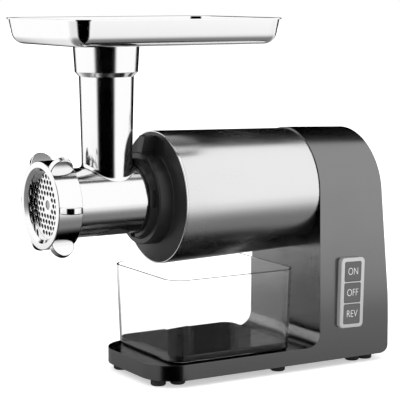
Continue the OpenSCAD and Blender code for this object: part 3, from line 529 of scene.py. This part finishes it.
# %% Sleeve
SLEEVE_FRONT, TOWER_FACE = sleeve_low.x / MM, sleeve_high.x / MM
SLEEVE_R = (sleeve_high.z - sleeve_low.z) / 2 / MM
SHEET = 1.2
arch_low, arch_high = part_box("housing")
ARCH_R = arch_high.z / MM - AXIS_Z
SLEEVE_REAR_R = ARCH_R - 1
sleeve = turned("sleeve", rounded([
    (SLEEVE_FRONT, SLEEVE_R, 0.4), (TOWER_FACE, SLEEVE_REAR_R, 0.3),
    (TOWER_FACE, SLEEVE_REAR_R - SHEET), (SLEEVE_FRONT, SLEEVE_R - SHEET, 0.3)], 3),
    segments=192)
ready(sleeve, "sleeve_shell", "base", "sleeve_steel", "motor_sleeve")

# %% [markdown]
# ## Trim ring
# A bright ring is let into the front rim. It is turned from its own small outline, so its
# outer edge can be rounded more than the sheet is.

# %% Trim ring
RING_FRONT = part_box("sleeve_trim_ring")[0].x / MM
ring = turned("ring", rounded([
    (RING_FRONT, SLEEVE_R, 0.5), (SLEEVE_FRONT, SLEEVE_R), (SLEEVE_FRONT, SLEEVE_R - 1.2),
    (RING_FRONT, SLEEVE_R - 1.2, 0.4)], 4), segments=192)
ready(ring, "sleeve_ring", "base", "polished_steel", "sleeve_trim_ring")

# %% [markdown]
# ## Front hub
# The hub is moulded in matt black plastic. It steps back from a boss round the barrel to
# a cone that fills the sleeve. A key block on top guides the head, and a finger slot is
# cut into the boss. The turned form comes first, with the groove for the pins and its
# corners rounded in the outline. Then the block, rounded on its own, is united with it,
# and the slot and notches are cut.

# %% Hub
hub_low, hub_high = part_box("front_hub")
barrel_low, barrel_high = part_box("grinder_body")
pin_low, pin_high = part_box("lock_pins")
BOSS_FRONT = hub_low.x / MM
HUB_FACE, BARREL_R, HUB_R, BOSS_R = BOSS_FRONT + 5, 31.1, 42.3, 37
PIN_X = (pin_low.x + pin_high.x) / 2 / MM
BARREL_END = HUB_FACE + 12
HUB_BACK = hub_high.x / MM
RIM_R = SLEEVE_R - 1.3
hub = turned("hub", rounded([
    (BOSS_FRONT, BARREL_R + 0.4, 0.5), (BOSS_FRONT, BOSS_R - 1.5, 1.2), (HUB_FACE, BOSS_R, 0.4),
    (HUB_FACE, HUB_R, 1.4), (SLEEVE_FRONT - 4.5, HUB_R, 1.0), (SLEEVE_FRONT - 1.0, RIM_R, 0.5),
    (HUB_BACK, RIM_R), (HUB_BACK, 14), (BARREL_END + 0.5, 14),
    (BARREL_END + 0.5, BARREL_R + 0.4), (PIN_X + 3.6, BARREL_R + 0.4), (PIN_X + 3.6, 36),
    (PIN_X - 3.6, 36), (PIN_X - 3.6, BARREL_R + 0.4)], 4))
KEY_TOP, KEY_W = RIM_R - 2.7, 11.4
block = soften(swept("block", [
    (HUB_FACE - 0.5, AXIS_Z + HUB_R - 9), (HUB_FACE + 5, AXIS_Z + KEY_TOP),
    (SLEEVE_FRONT - 0.6, AXIS_Z + KEY_TOP), (SLEEVE_FRONT - 0.6, AXIS_Z + HUB_R - 9)],
    "Y", -KEY_W / 2, KEY_W / 2), 0.7)
carve(hub, block, how="UNION")
slot_cut = swept("slot", [(BOSS_FRONT - 1, AXIS_Z - 4), (HUB_FACE, AXIS_Z - 4),
                          (HUB_FACE, AXIS_Z + 11), (BOSS_FRONT - 1, AXIS_Z + 11)],
                 "Y", -BOSS_R - 4, -BOSS_R + 3.5)
notch = swept("notch", [(PIN_X - 20, 35 - 7.25), (PIN_X, 35 - 7.25), (PIN_X, 36.25),
                        (PIN_X - 20, 36.25)], "Y", -4, 4)
notch.data.transform(Matrix.Translation((0, 0, AXIS_Z * MM)))
notches = copies(notch, [about(a, "X", (0, 0, AXIS_Z)) for a in (0, 180)])
carve(hub, slot_cut, notches)
ready(hub, "hub_moulding", "base", "black_plastic", "front_hub")

# %% [markdown]
# ## Grinding head
# The head is one polished casting: a barrel, with a feed tube rising from it. Where the
# two meet, a cast part has a rolled fillet, and its highlight is a bright saddle line. A
# ball that rolls along the corner touches the barrel and the tube, and the arc between
# the two touching points is the fillet. So the tube is spun with spare rings at its foot,
# and those rings are then laid on that arc.

# %% Sizes of the head
nut_low, nut_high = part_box("ring_nut")
FEED_X = -103.35
HEAD_FRONT, HEAD_BACK = barrel_low.x / MM, barrel_high.x / MM
PLATE_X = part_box("perforated_plate")[0].x / MM
BORE_R, THREAD_R, FEED_R, FEED_TOP_R, COLLAR_R = 27.8, 36.7, 22.9, 24.6, 29.8
THREAD_BACK, PITCH = HEAD_FRONT + 13.15, 3.0
COLLAR_TOP = barrel_high.z / MM
FILLET = 4.5
RINGS = 8

# %% Barrel
threads = []
thread = HEAD_FRONT + 1.5
while thread + PITCH < THREAD_BACK - 1:
    threads += [(thread, THREAD_R), (thread + PITCH * 0.4, THREAD_R),
                (thread + PITCH * 0.5, THREAD_R - 1), (thread + PITCH * 0.9, THREAD_R - 1)]
    thread += PITCH
steps = range(-136, -72, 4)
barrel = turned("barrel", rounded([
    (HEAD_FRONT, 0), (HEAD_FRONT, THREAD_R - 0.8, 0.3), *threads, (THREAD_BACK, THREAD_R, 0.5),
    (THREAD_BACK + 2, BARREL_R, 1.0), *[(x, BARREL_R) for x in steps],
    (HEAD_BACK, BARREL_R, 1.6), (HEAD_BACK, 0)], 4))

# %% [markdown]
# ## Feed tube
# The tube widens to a collar that holds the tray's skirt. It is spun like the barrel, and
# then the rings at its foot are moved, point by point, onto the fillet's arc.

# %% Feed tube with its rolled fillet
foot = AXIS_Z + BARREL_R
tube = turned("tube", rounded([
    (COLLAR_TOP, 0), (COLLAR_TOP, COLLAR_R, 0.8), (COLLAR_TOP - 24, COLLAR_R - 1.5, 1.2),
    (COLLAR_TOP - 28, FEED_TOP_R, 1.0), (foot + 12, FEED_R), (foot + 9, FEED_R),
    *[(foot - k, FEED_R) for k in range(RINGS + 2)], (AXIS_Z, 0)], 4),
    axis="Z", centre=(FEED_X, 0, 0))
for vertex in tube.data.vertices:
    ring_number = round(foot - vertex.co.z / MM)
    if vertex.co.z / MM > foot + 0.5 or ring_number > RINGS + 1:
        continue
    around = math.atan2(vertex.co.y, vertex.co.x - FEED_X * MM)
    out = Vector((math.cos(around), math.sin(around), 0))
    middle = out * (FEED_R + FILLET)
    middle.z = math.sqrt((BARREL_R + FILLET) ** 2 - middle.y ** 2)
    to_tube = -out
    to_barrel = Vector((0, -middle.y, -middle.z)).normalized()
    if ring_number <= RINGS:
        spot = middle + to_tube.slerp(to_barrel, ring_number / RINGS) * (FILLET - 0.02)
    else:
        spot = middle + to_barrel * (FILLET + 5)
    vertex.co = (Vector((FEED_X, 0, AXIS_Z)) + spot) * MM

# %% [markdown]
# ## Machining the casting
# The bore, throat and pin holes are machined after casting, so they are cut here after
# barrel and tube are one. The inner walls stay rough as cast, and their dark colour is
# painted shade deep in the bore and throat.

# %% Bore, throat, seat and pin holes
bore = turned("bore", [(HEAD_FRONT - 5, 0), (HEAD_FRONT - 5, 33.3), (PLATE_X + 5, 33.3),
                       (PLATE_X + 5, BORE_R), (HEAD_BACK + 5, BORE_R), (HEAD_BACK + 5, 0)])
throat = turned("throat", [(COLLAR_TOP + 5, 0), (COLLAR_TOP + 5, 23.6), (COLLAR_TOP - 12, 23.6),
                           (COLLAR_TOP - 12, 20.1), (AXIS_Z, 20.1), (AXIS_Z, 0)],
                axis="Z", centre=(FEED_X, 0, 0), segments=96)
pin_hole = turned("pin_hole", [(AXIS_Z - 60, 0), (AXIS_Z - 60, 2.5), (AXIS_Z + 60, 2.5),
                               (AXIS_Z + 60, 0)], axis="Z", centre=(PIN_X, 0, 0),
                  segments=24)
carve(barrel, tube, how="UNION")
carve(barrel, bore, throat, pin_hole)
ready(barrel, "grinder_casting", "head", "polished_cast", "grinder_body")
# Rough cast finish. Its dark colour is painted shade deep in the bore and throat.
as_cast_and_painted_shade = finish("as_cast_and_painted_shade", (0.12, 0.12, 0.12), 0.5, 0.8, grain=1.0, bump=0.2)
barrel.data.materials.append(as_cast_and_painted_shade)
# Faces deep in the bore and throat take the material with painted shade.
for face in barrel.data.polygons:
    place = face.center / MM
    inside = math.hypot(place.y, place.z - AXIS_Z) < BORE_R + 0.5
    in_throat = math.hypot(place.x - FEED_X, place.y) < 20.5
    if (inside and place.x > PLATE_X + 4) or (in_throat and place.z < COLLAR_TOP - 12.5):
        face.material_index = 1

# %% [markdown]
# ## Ring nut
# The nut screws the plate against the head. Its turned ring has a wide polished face and
# six half-round ribs for the fingers. One rib is shaped and softened, copied round the
# axis, and united with the ring.

# %% Nut
NUT_FRONT, NUT_BACK = nut_low.x / MM, nut_high.x / MM
NUT_R, OPEN_R, NUT_BORE, LIP = 39.4, 30.6, 37.0, 7.8
nut = turned("nut", rounded([
    (NUT_FRONT, OPEN_R + 3, 0.4), (NUT_FRONT, NUT_R, 1.0), (NUT_BACK, NUT_R, 1.0),
    (NUT_BACK, NUT_BORE, 0.3), (NUT_FRONT + LIP, NUT_BORE), (NUT_FRONT + LIP, OPEN_R, 0.3),
    (NUT_FRONT + 3, OPEN_R, 0.4)], 4), segments=144)
RIB_H, RIB_T = 10.5, 6
SPAN = NUT_BACK - NUT_FRONT - 2
RIB_R = (SPAN * SPAN / 4 + RIB_H * RIB_H) / (2 * RIB_H)
rib_centre = ((NUT_FRONT + NUT_BACK) / 2, 0, AXIS_Z + NUT_R + RIB_H - RIB_R)
bpy.ops.object.select_all(action="DESELECT")
bpy.ops.mesh.primitive_cylinder_add(vertices=72, radius=RIB_R * MM, depth=RIB_T * MM,
                                    location=Vector(rib_centre) * MM,
                                    rotation=(math.pi / 2, 0, 0))
rib = settle(bpy.context.object)
soften(rib, 1.0, 4)
edit(rib)
bpy.ops.mesh.select_all(action="SELECT")
bpy.ops.mesh.bisect(plane_co=Vector((0, 0, AXIS_Z + NUT_R - 1.2)) * MM, plane_no=(0, 0, 1),
                    clear_inner=True, use_fill=True)
leave()
ribs = copies(rib, [about(90 + 60 * k, "X", (0, 0, AXIS_Z)) for k in range(6)])
carve(nut, ribs, how="UNION")
ready(nut, "ring_nut_polished", "nut", "polished_steel", "ring_nut")

# %% [markdown]
# ## Perforated plate
# The plate is a ground steel disc. Its holes are drilled with a small chamfer, so one
# drill is turned and copied over a triangular grid that leaves a blank round the middle.
# The walls of the holes stay rough as drilled, and their near-black colour is painted shade
# inside the holes.

# %% Plate
PLATE_R, PLATE_T, HOLE_R, STEP, BLANK = 33, 5, 2, 5.8, 8.5
# Rough drilled finish. Its near-black colour is painted shade inside the holes.
drilled_and_painted_shade = finish("drilled_steel_painted_shade", (0.05, 0.05, 0.05), 0.5, 0.6, grain=1.0, bump=0.1)
plate = turned("plate", rounded([
    (PLATE_X, 4.1, 0.3), (PLATE_X, PLATE_R, 0.4), (PLATE_X + PLATE_T, PLATE_R, 0.4),
    (PLATE_X + PLATE_T, 4.1, 0.3)], 3))
drill = turned("drill", [
    (PLATE_X - 1, 0), (PLATE_X - 1, HOLE_R + 1.25), (PLATE_X + 0.25, HOLE_R),
    (PLATE_X + PLATE_T + 1, HOLE_R), (PLATE_X + PLATE_T + 1, 0)], segments=20)
spots = []
for i in range(-5, 6):
    for j in range(-5, 6):
        spot = Vector(((j + (i % 2) / 2) * STEP, i * STEP * math.sqrt(3) / 2))
        if BLANK < spot.length < PLATE_R - 6.2:
            spots.append(Matrix.Translation((0, spot.x * MM, spot.y * MM)))
carve(plate, copies(drill, spots))
key_low, key_high = AXIS_Z - PLATE_R - 2, AXIS_Z - PLATE_R + 2.6
keyway = swept("keyway", [(PLATE_X - 1, key_low), (PLATE_X + 6, key_low),
                          (PLATE_X + 6, key_high), (PLATE_X - 1, key_high)], "Y", -2.3, 2.3)
carve(plate, keyway)
ready(plate, "plate_ground", "plate", "polished_steel", "perforated_plate")
plate.data.materials.append(drilled_and_painted_shade)
# The hole walls take the material with painted shade.
for face in plate.data.polygons:
    place = face.center / MM
    if abs(face.normal.x) < 0.4 and math.hypot(place.y, place.z - AXIS_Z) < PLATE_R - 1:
        face.material_index = 1
print("holes:", len(spots))

# %% [markdown]
# ## Tray
# The tray is pressed from one sheet. A press pushes a flat sheet down step by step, and
# the inset operator does the same here: it starts from a rounded rectangle at the rim,
# and each inset goes in by a little and down by a little, round the bend at the lip, down
# the wall, and round the wide bend at the bottom. Solidify then gives the sheet its
# thickness. A short skirt below drops into the feed tube's collar.

# %% Pressing a sheet
def rounded_sheet(name, centre, length, width, corner, segments=12):
    """A flat rounded rectangle, all in mm, ready to be pressed down. It stays in edit
    mode with its face selected."""
    bpy.ops.object.select_all(action="DESELECT")
    bpy.ops.mesh.primitive_plane_add(size=1, location=Vector(centre) * MM)
    piece = bpy.context.object
    piece.name = piece.data.name = name
    piece.scale = (length * MM, width * MM, 1)
    settle(piece)
    edit(piece)
    bpy.ops.mesh.select_all(action="SELECT")
    bpy.ops.mesh.bevel(offset=corner * MM, segments=segments, affect="VERTICES")
    leave()
    edit(piece, "FACE")
    bpy.ops.mesh.select_all(action="SELECT")
    return piece


def press(steps):
    """Insets the selected face again and again: each step is (inwards, downwards) in mm."""
    for inwards, down in steps:
        bpy.ops.mesh.inset(thickness=inwards * MM, depth=-down * MM)


def bend(radius, start, end, steps):
    """Steps round a bend, from one slope to another, in degrees below the flat."""
    made = []
    for k in range(steps):
        a = math.radians(start + (end - start) * k / steps)
        b = math.radians(start + (end - start) * (k + 1) / steps)
        made.append((radius * abs(math.sin(b) - math.sin(a)),
                     radius * abs(math.cos(a) - math.cos(b))))
    return made


def depth(steps):
    """How far down the steps of a press go in all, in mm."""
    return sum(down for _, down in steps)


# %% Tray sheet
tray_low, tray_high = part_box("tray")
TRAY_L, TRAY_W = (tray_high.x - tray_low.x) / MM, (tray_high.y - tray_low.y) / MM
TRAY_TOP, TRAY_FLOOR = tray_high.z / MM, COLLAR_TOP
TRAY_X = (tray_low.x + tray_high.x) / 2 / MM
DRAFT, BEND, LIP_BEND, TRAY_SHEET = 11, 12, 1.2, 1.2
lip_down = depth(bend(LIP_BEND, 0, 90 - DRAFT, 4))
low_down = depth(bend(BEND - TRAY_SHEET, 90 - DRAFT, 0, 8))
WALL = TRAY_TOP - TRAY_FLOOR - TRAY_SHEET - lip_down - low_down
tray = rounded_sheet("tray", (TRAY_X, 0, TRAY_TOP), TRAY_L, TRAY_W, 20)
press([(1.8, 0.0), *bend(LIP_BEND, 0, 90 - DRAFT, 4)])
press([(WALL * math.tan(math.radians(DRAFT)), WALL)])
press(bend(BEND - TRAY_SHEET, 90 - DRAFT, 0, 8))
leave()
modify(tray, "SOLIDIFY", thickness=TRAY_SHEET * MM, offset=-1, use_even_offset=True)
soften(tray, 0.25, 2, 60)
SKIRT_R = 23.3
hole = turned("hole", [(TRAY_FLOOR - 5, 0), (TRAY_FLOOR - 5, SKIRT_R - 0.6),
                       (TRAY_FLOOR + 8, SKIRT_R - 0.6), (TRAY_FLOOR + 8, 0)],
              axis="Z", centre=(FEED_X, 0, 0), segments=96)
carve(tray, hole)
skirt = turned("skirt", rounded([
    (TRAY_FLOOR + TRAY_SHEET, SKIRT_R + 0.4),
    (TRAY_FLOOR + TRAY_SHEET, SKIRT_R - TRAY_SHEET, 1.1),
    (TRAY_FLOOR - 11, SKIRT_R - TRAY_SHEET, 0.3), (TRAY_FLOOR - 11, SKIRT_R, 0.3),
    (TRAY_FLOOR + 0.4, SKIRT_R)], 4), axis="Z", centre=(FEED_X, 0, 0), segments=96)
carve(tray, skirt, how="UNION")
ready(tray, "tray_pressing", "feed_tray", "polished_steel", "tray")

# %% [markdown]
# ## Container
# The catch container is moulded in clear plastic, with walls that lean in a little so
# that it leaves its mould. It is pressed with the same helper and given its wall by
# Solidify. A glossy black insert lies on its floor.

# %% Container
box_low, box_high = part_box("container_box")
insert_low, insert_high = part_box("container_insert")
BOX_L, BOX_W = (box_high.x - box_low.x) / MM, (box_high.y - box_low.y) / MM
BOX_X = (box_low.x + box_high.x) / 2 / MM
BOX_TOP, BOX_FOOT = box_high.z / MM, box_low.z / MM
BOX_WALL, BOX_DRAFT, BOX_EDGE = 2.2, 2.3, 3
foot_down = depth(bend(BOX_EDGE, 90 - BOX_DRAFT, 0, 5))
side = BOX_TOP - BOX_FOOT - foot_down
box = rounded_sheet("box", (BOX_X, 0, BOX_TOP), BOX_L, BOX_W, 17, 10)
press([(side * math.tan(math.radians(BOX_DRAFT)), side), *bend(BOX_EDGE, 90 - BOX_DRAFT, 0, 5)])
leave()
modify(box, "SOLIDIFY", thickness=BOX_WALL * MM, offset=1, use_even_offset=True)
soften(box, 0.5, 2, 50)
ready(box, "container_moulding", "container", "clear_plastic", "container_box")

# %% [markdown]
# ## Insert
# The insert is a thick glossy plate. The same rounded rectangle is extruded down once, and
# all its edges are rounded.

# %% Insert
INSERT_L, INSERT_W = ((insert_high.x - insert_low.x) / MM, (insert_high.y - insert_low.y) / MM)
INSERT_TOP, INSERT_T = insert_high.z / MM, (insert_high.z - insert_low.z) / MM
insert = rounded_sheet("insert", (BOX_X, 0, INSERT_TOP), INSERT_L, INSERT_W, 11.6, 8)
bpy.ops.mesh.extrude_region_move(TRANSFORM_OT_translate={"value": (0, 0, -INSERT_T * MM)})
leave()
clean(insert)
soften(insert, 1.2, 4)
ready(insert, "insert_moulding", "container", "gloss_black", "container_insert")

# %% [markdown]
# ## Housing
# Base and tower are one shell. Seen from the side it is an L with a fillet in its corner
# and a leaning back, from the front an arch that flares down to the base, and from above
# a bar with rounded front corners. The shell is where these three forms overlap, so the
# same form is made twice, once a wall smaller. The edges of the outer form are rounded a
# little, the smaller one is cut away, and last the openings are cut.

# %% Sizes of the housing
BASE_LOW, BASE_TOP, REAR_X = arch_low.z / MM, 21.3, arch_high.x / MM - 0.1
BASE_X, HALF, SLANT, HEEL = arch_low.x / MM, arch_high.y / MM, 4.6, 13
CORNER_R, SKIN, FALL = 32, 2.6, 0.66
lean = math.tan(math.radians(SLANT))
REAR_Z = BASE_LOW + HEEL
TOP = AXIS_Z + ARCH_R


def housing_form(name, inset):
    """Base and tower as one closed solid, moved in by inset."""
    foot, front = BASE_LOW - (1 if inset else 0), TOWER_FACE + inset
    back = REAR_X - inset
    side = swept(name, rounded([
        (BASE_X + inset, foot), (back + 0.5, foot, HEEL - inset),
        (back - (TOP + 5 - REAR_Z) * lean, TOP + 5), (front, TOP + 5),
        (front, BASE_TOP - inset, 14 + inset), (BASE_X + inset, BASE_TOP - inset)], 16),
        "Y", -90, 90)
    radius, wide = ARCH_R - inset, HALF - inset
    arch = [(radius * math.cos(math.radians(a)), AXIS_Z + radius * math.sin(math.radians(a)))
            for a in range(0, 181, 2)]
    face = swept("face", [*arch, (-wide, BASE_LOW - 2), (wide, BASE_LOW - 2)], "X",
                 BASE_X - 10, REAR_X + 10)
    plan = swept("plan", rounded([
        (BASE_X + inset, -wide, CORNER_R - inset), (back, -wide, 8 - inset),
        (back, wide, 8 - inset), (BASE_X + inset, wide, CORNER_R - inset)], 14),
        "Z", BASE_LOW - 3, TOP + 10)
    form = carve(side, face, plan, how="INTERSECT")
    for vertex in form.data.vertices:
        above, behind = vertex.co.z - AXIS_Z * MM, vertex.co.x - TOWER_FACE * MM
        if above > 0 and behind > 0:
            vertex.co.z -= above * behind * FALL
    return form


# %% [markdown]
# ## Shell
# The smaller form is cut away to leave the wall, and the seats of the sleeve, the switch
# panel, the vent and the cord are cut through it.

# %% Shell and its openings
housing = soften(housing_form("housing", 0), 0.9, 3, 35)
core = housing_form("core", SKIN)
carve(housing, core)
through = turned("through", [(TOWER_FACE - 3, 0), (TOWER_FACE - 3, 46.3),
                             (TOWER_FACE + 5, 46.3), (TOWER_FACE + 5, 0)])
bezel_low, bezel_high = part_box("switch_bezel")
PANEL_X = (bezel_low.x + bezel_high.x) / 2 / MM
PANEL_Z = (bezel_low.z + bezel_high.z) / 2 / MM
PANEL_TILT = about(1.5, "Y", (PANEL_X, 0, PANEL_Z))
seat = swept("seat", [(PANEL_X - 11, PANEL_Z - 31), (PANEL_X + 11, PANEL_Z - 31),
                      (PANEL_X + 11, PANEL_Z + 31), (PANEL_X - 11, PANEL_Z + 31)],
             "Y", -HALF - 9, -HALF + 9)
seat.data.transform(PANEL_TILT)
vent_low, vent_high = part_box("rear_vent_panel")
VENT_Z = (vent_low.z + vent_high.z) / 2 / MM
vent = swept("vent", rounded([(-33, VENT_Z - 26, 1), (33, VENT_Z - 26, 1), (33, VENT_Z + 26, 1),
                              (-33, VENT_Z + 26, 1)]), "X", REAR_X - 30, REAR_X + 5)
gland_low, gland_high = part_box("cable_gland")
GLAND_Z = (gland_low.z + gland_high.z) / 2 / MM
inlet = turned("inlet", [(REAR_X - 30, 0), (REAR_X - 30, 7), (REAR_X + 5, 7), (REAR_X + 5, 0)],
               centre=(0, 0, GLAND_Z), segments=48)
carve(housing, through, seat, vent, inlet)
ready(housing, "housing_shell", "base", "housing_grey", "housing")

# %% [markdown]
# ## Bezel
# A silver bezel frames three square buttons, with a tub behind it that they slide in. All
# of them are upright blocks with rounded corners, so one helper makes each, and the panel's
# tilt is given last.

# %% Bezel
def panel(name, width, height, corner, front, back, middle=0):
    """A block on the switch panel, middle mm above its centre, before the panel's tilt."""
    left, right = PANEL_X - width / 2, PANEL_X + width / 2
    low, high = PANEL_Z + middle - height / 2, PANEL_Z + middle + height / 2
    return swept(name, rounded([(left, low, corner), (right, low, corner),
                                (right, high, corner), (left, high, corner)], 5),
                 "Y", front, back)


PANEL_W, PANEL_H, BUTTON, SPACING = 27, 67, 18.6, 20.3
PANEL_Y, PANEL_END = bezel_low.y / MM, bezel_high.y / MM
rows = [Matrix.Translation((0, 0, k * SPACING * MM)) for k in (-1, 0, 1)]
bezel = soften(panel("bezel", PANEL_W, PANEL_H, 4, PANEL_Y, -HALF + 1.6), 0.7, 4)
tub = panel("tub", PANEL_W - 5.2, PANEL_H - 5.2, 1, PANEL_Y + 1.5, -HALF + 8.5)
well = panel("well", BUTTON + 0.6, BUTTON + 0.6, 1.6, -HALF - 20, -HALF + 20)
posts = [panel("post", 6, 1, 0.2, -HALF + 8, PANEL_END, end * (PANEL_H / 2 - 3.2))
         for end in (-1, 1)]
carve(bezel, tub, *posts, how="UNION")
carve(bezel, copies(well, rows))
bezel.data.transform(PANEL_TILT)
ready(bezel, "bezel_moulding", "base", "silver_trim", "switch_bezel")

# %% [markdown]
# ## Buttons
# Each button is a softened block on a stem, and it carries its word in thin raised
# letters. The cap is modelled once and copied. The word rides on the same body as its
# button, so it goes in with it. A text object becomes a mesh before it gets its place.

# %% Buttons and their words
BUTTON_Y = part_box("button_off")[0].y / MM
cap = soften(panel("cap", BUTTON, BUTTON, 1.5, BUTTON_Y, BUTTON_Y + 7), 0.5, 3, 50)
carve(cap, panel("stem", 6, 6, 0.2, BUTTON_Y + 6, BUTTON_Y + 11), how="UNION")
lettering = finish("lettering", (0.75, 0.75, 0.75), 0.45, grain=0.3)
for place, word, body in ((1, "ON", "on_key"), (0, "OFF", "off_key"), (-1, "REV", "rev_key")):
    move = PANEL_TILT @ rows[place + 1]
    button = cap.copy()
    button.data = cap.data.copy()
    scene.collection.objects.link(button)
    button.data.transform(move)
    ready(button, "button_" + word.lower() + "_cap", body, "button_grey",
          "button_" + word.lower())
    bpy.ops.object.select_all(action="DESELECT")
    bpy.ops.object.text_add()
    text = bpy.context.object
    text.data.body, text.data.size = word, 7.6 * MM
    text.data.align_x, text.data.align_y = "CENTER", "CENTER"
    text.data.extrude, text.data.offset = 0.1 * MM, -0.14 * MM
    only(text)
    bpy.ops.object.convert(target="MESH")
    text = bpy.context.object
    text.data.transform(move @ Matrix.Translation(
        Vector((PANEL_X, BUTTON_Y - 0.02, PANEL_Z)) * MM) @ Matrix.Rotation(math.pi / 2, 4, "X")
        @ Matrix.Diagonal((1.0, 1.3, 1, 1)))
    ready(text, "word_" + word.lower(), body, "silver_trim", material=lettering)
bpy.data.objects.remove(cap)
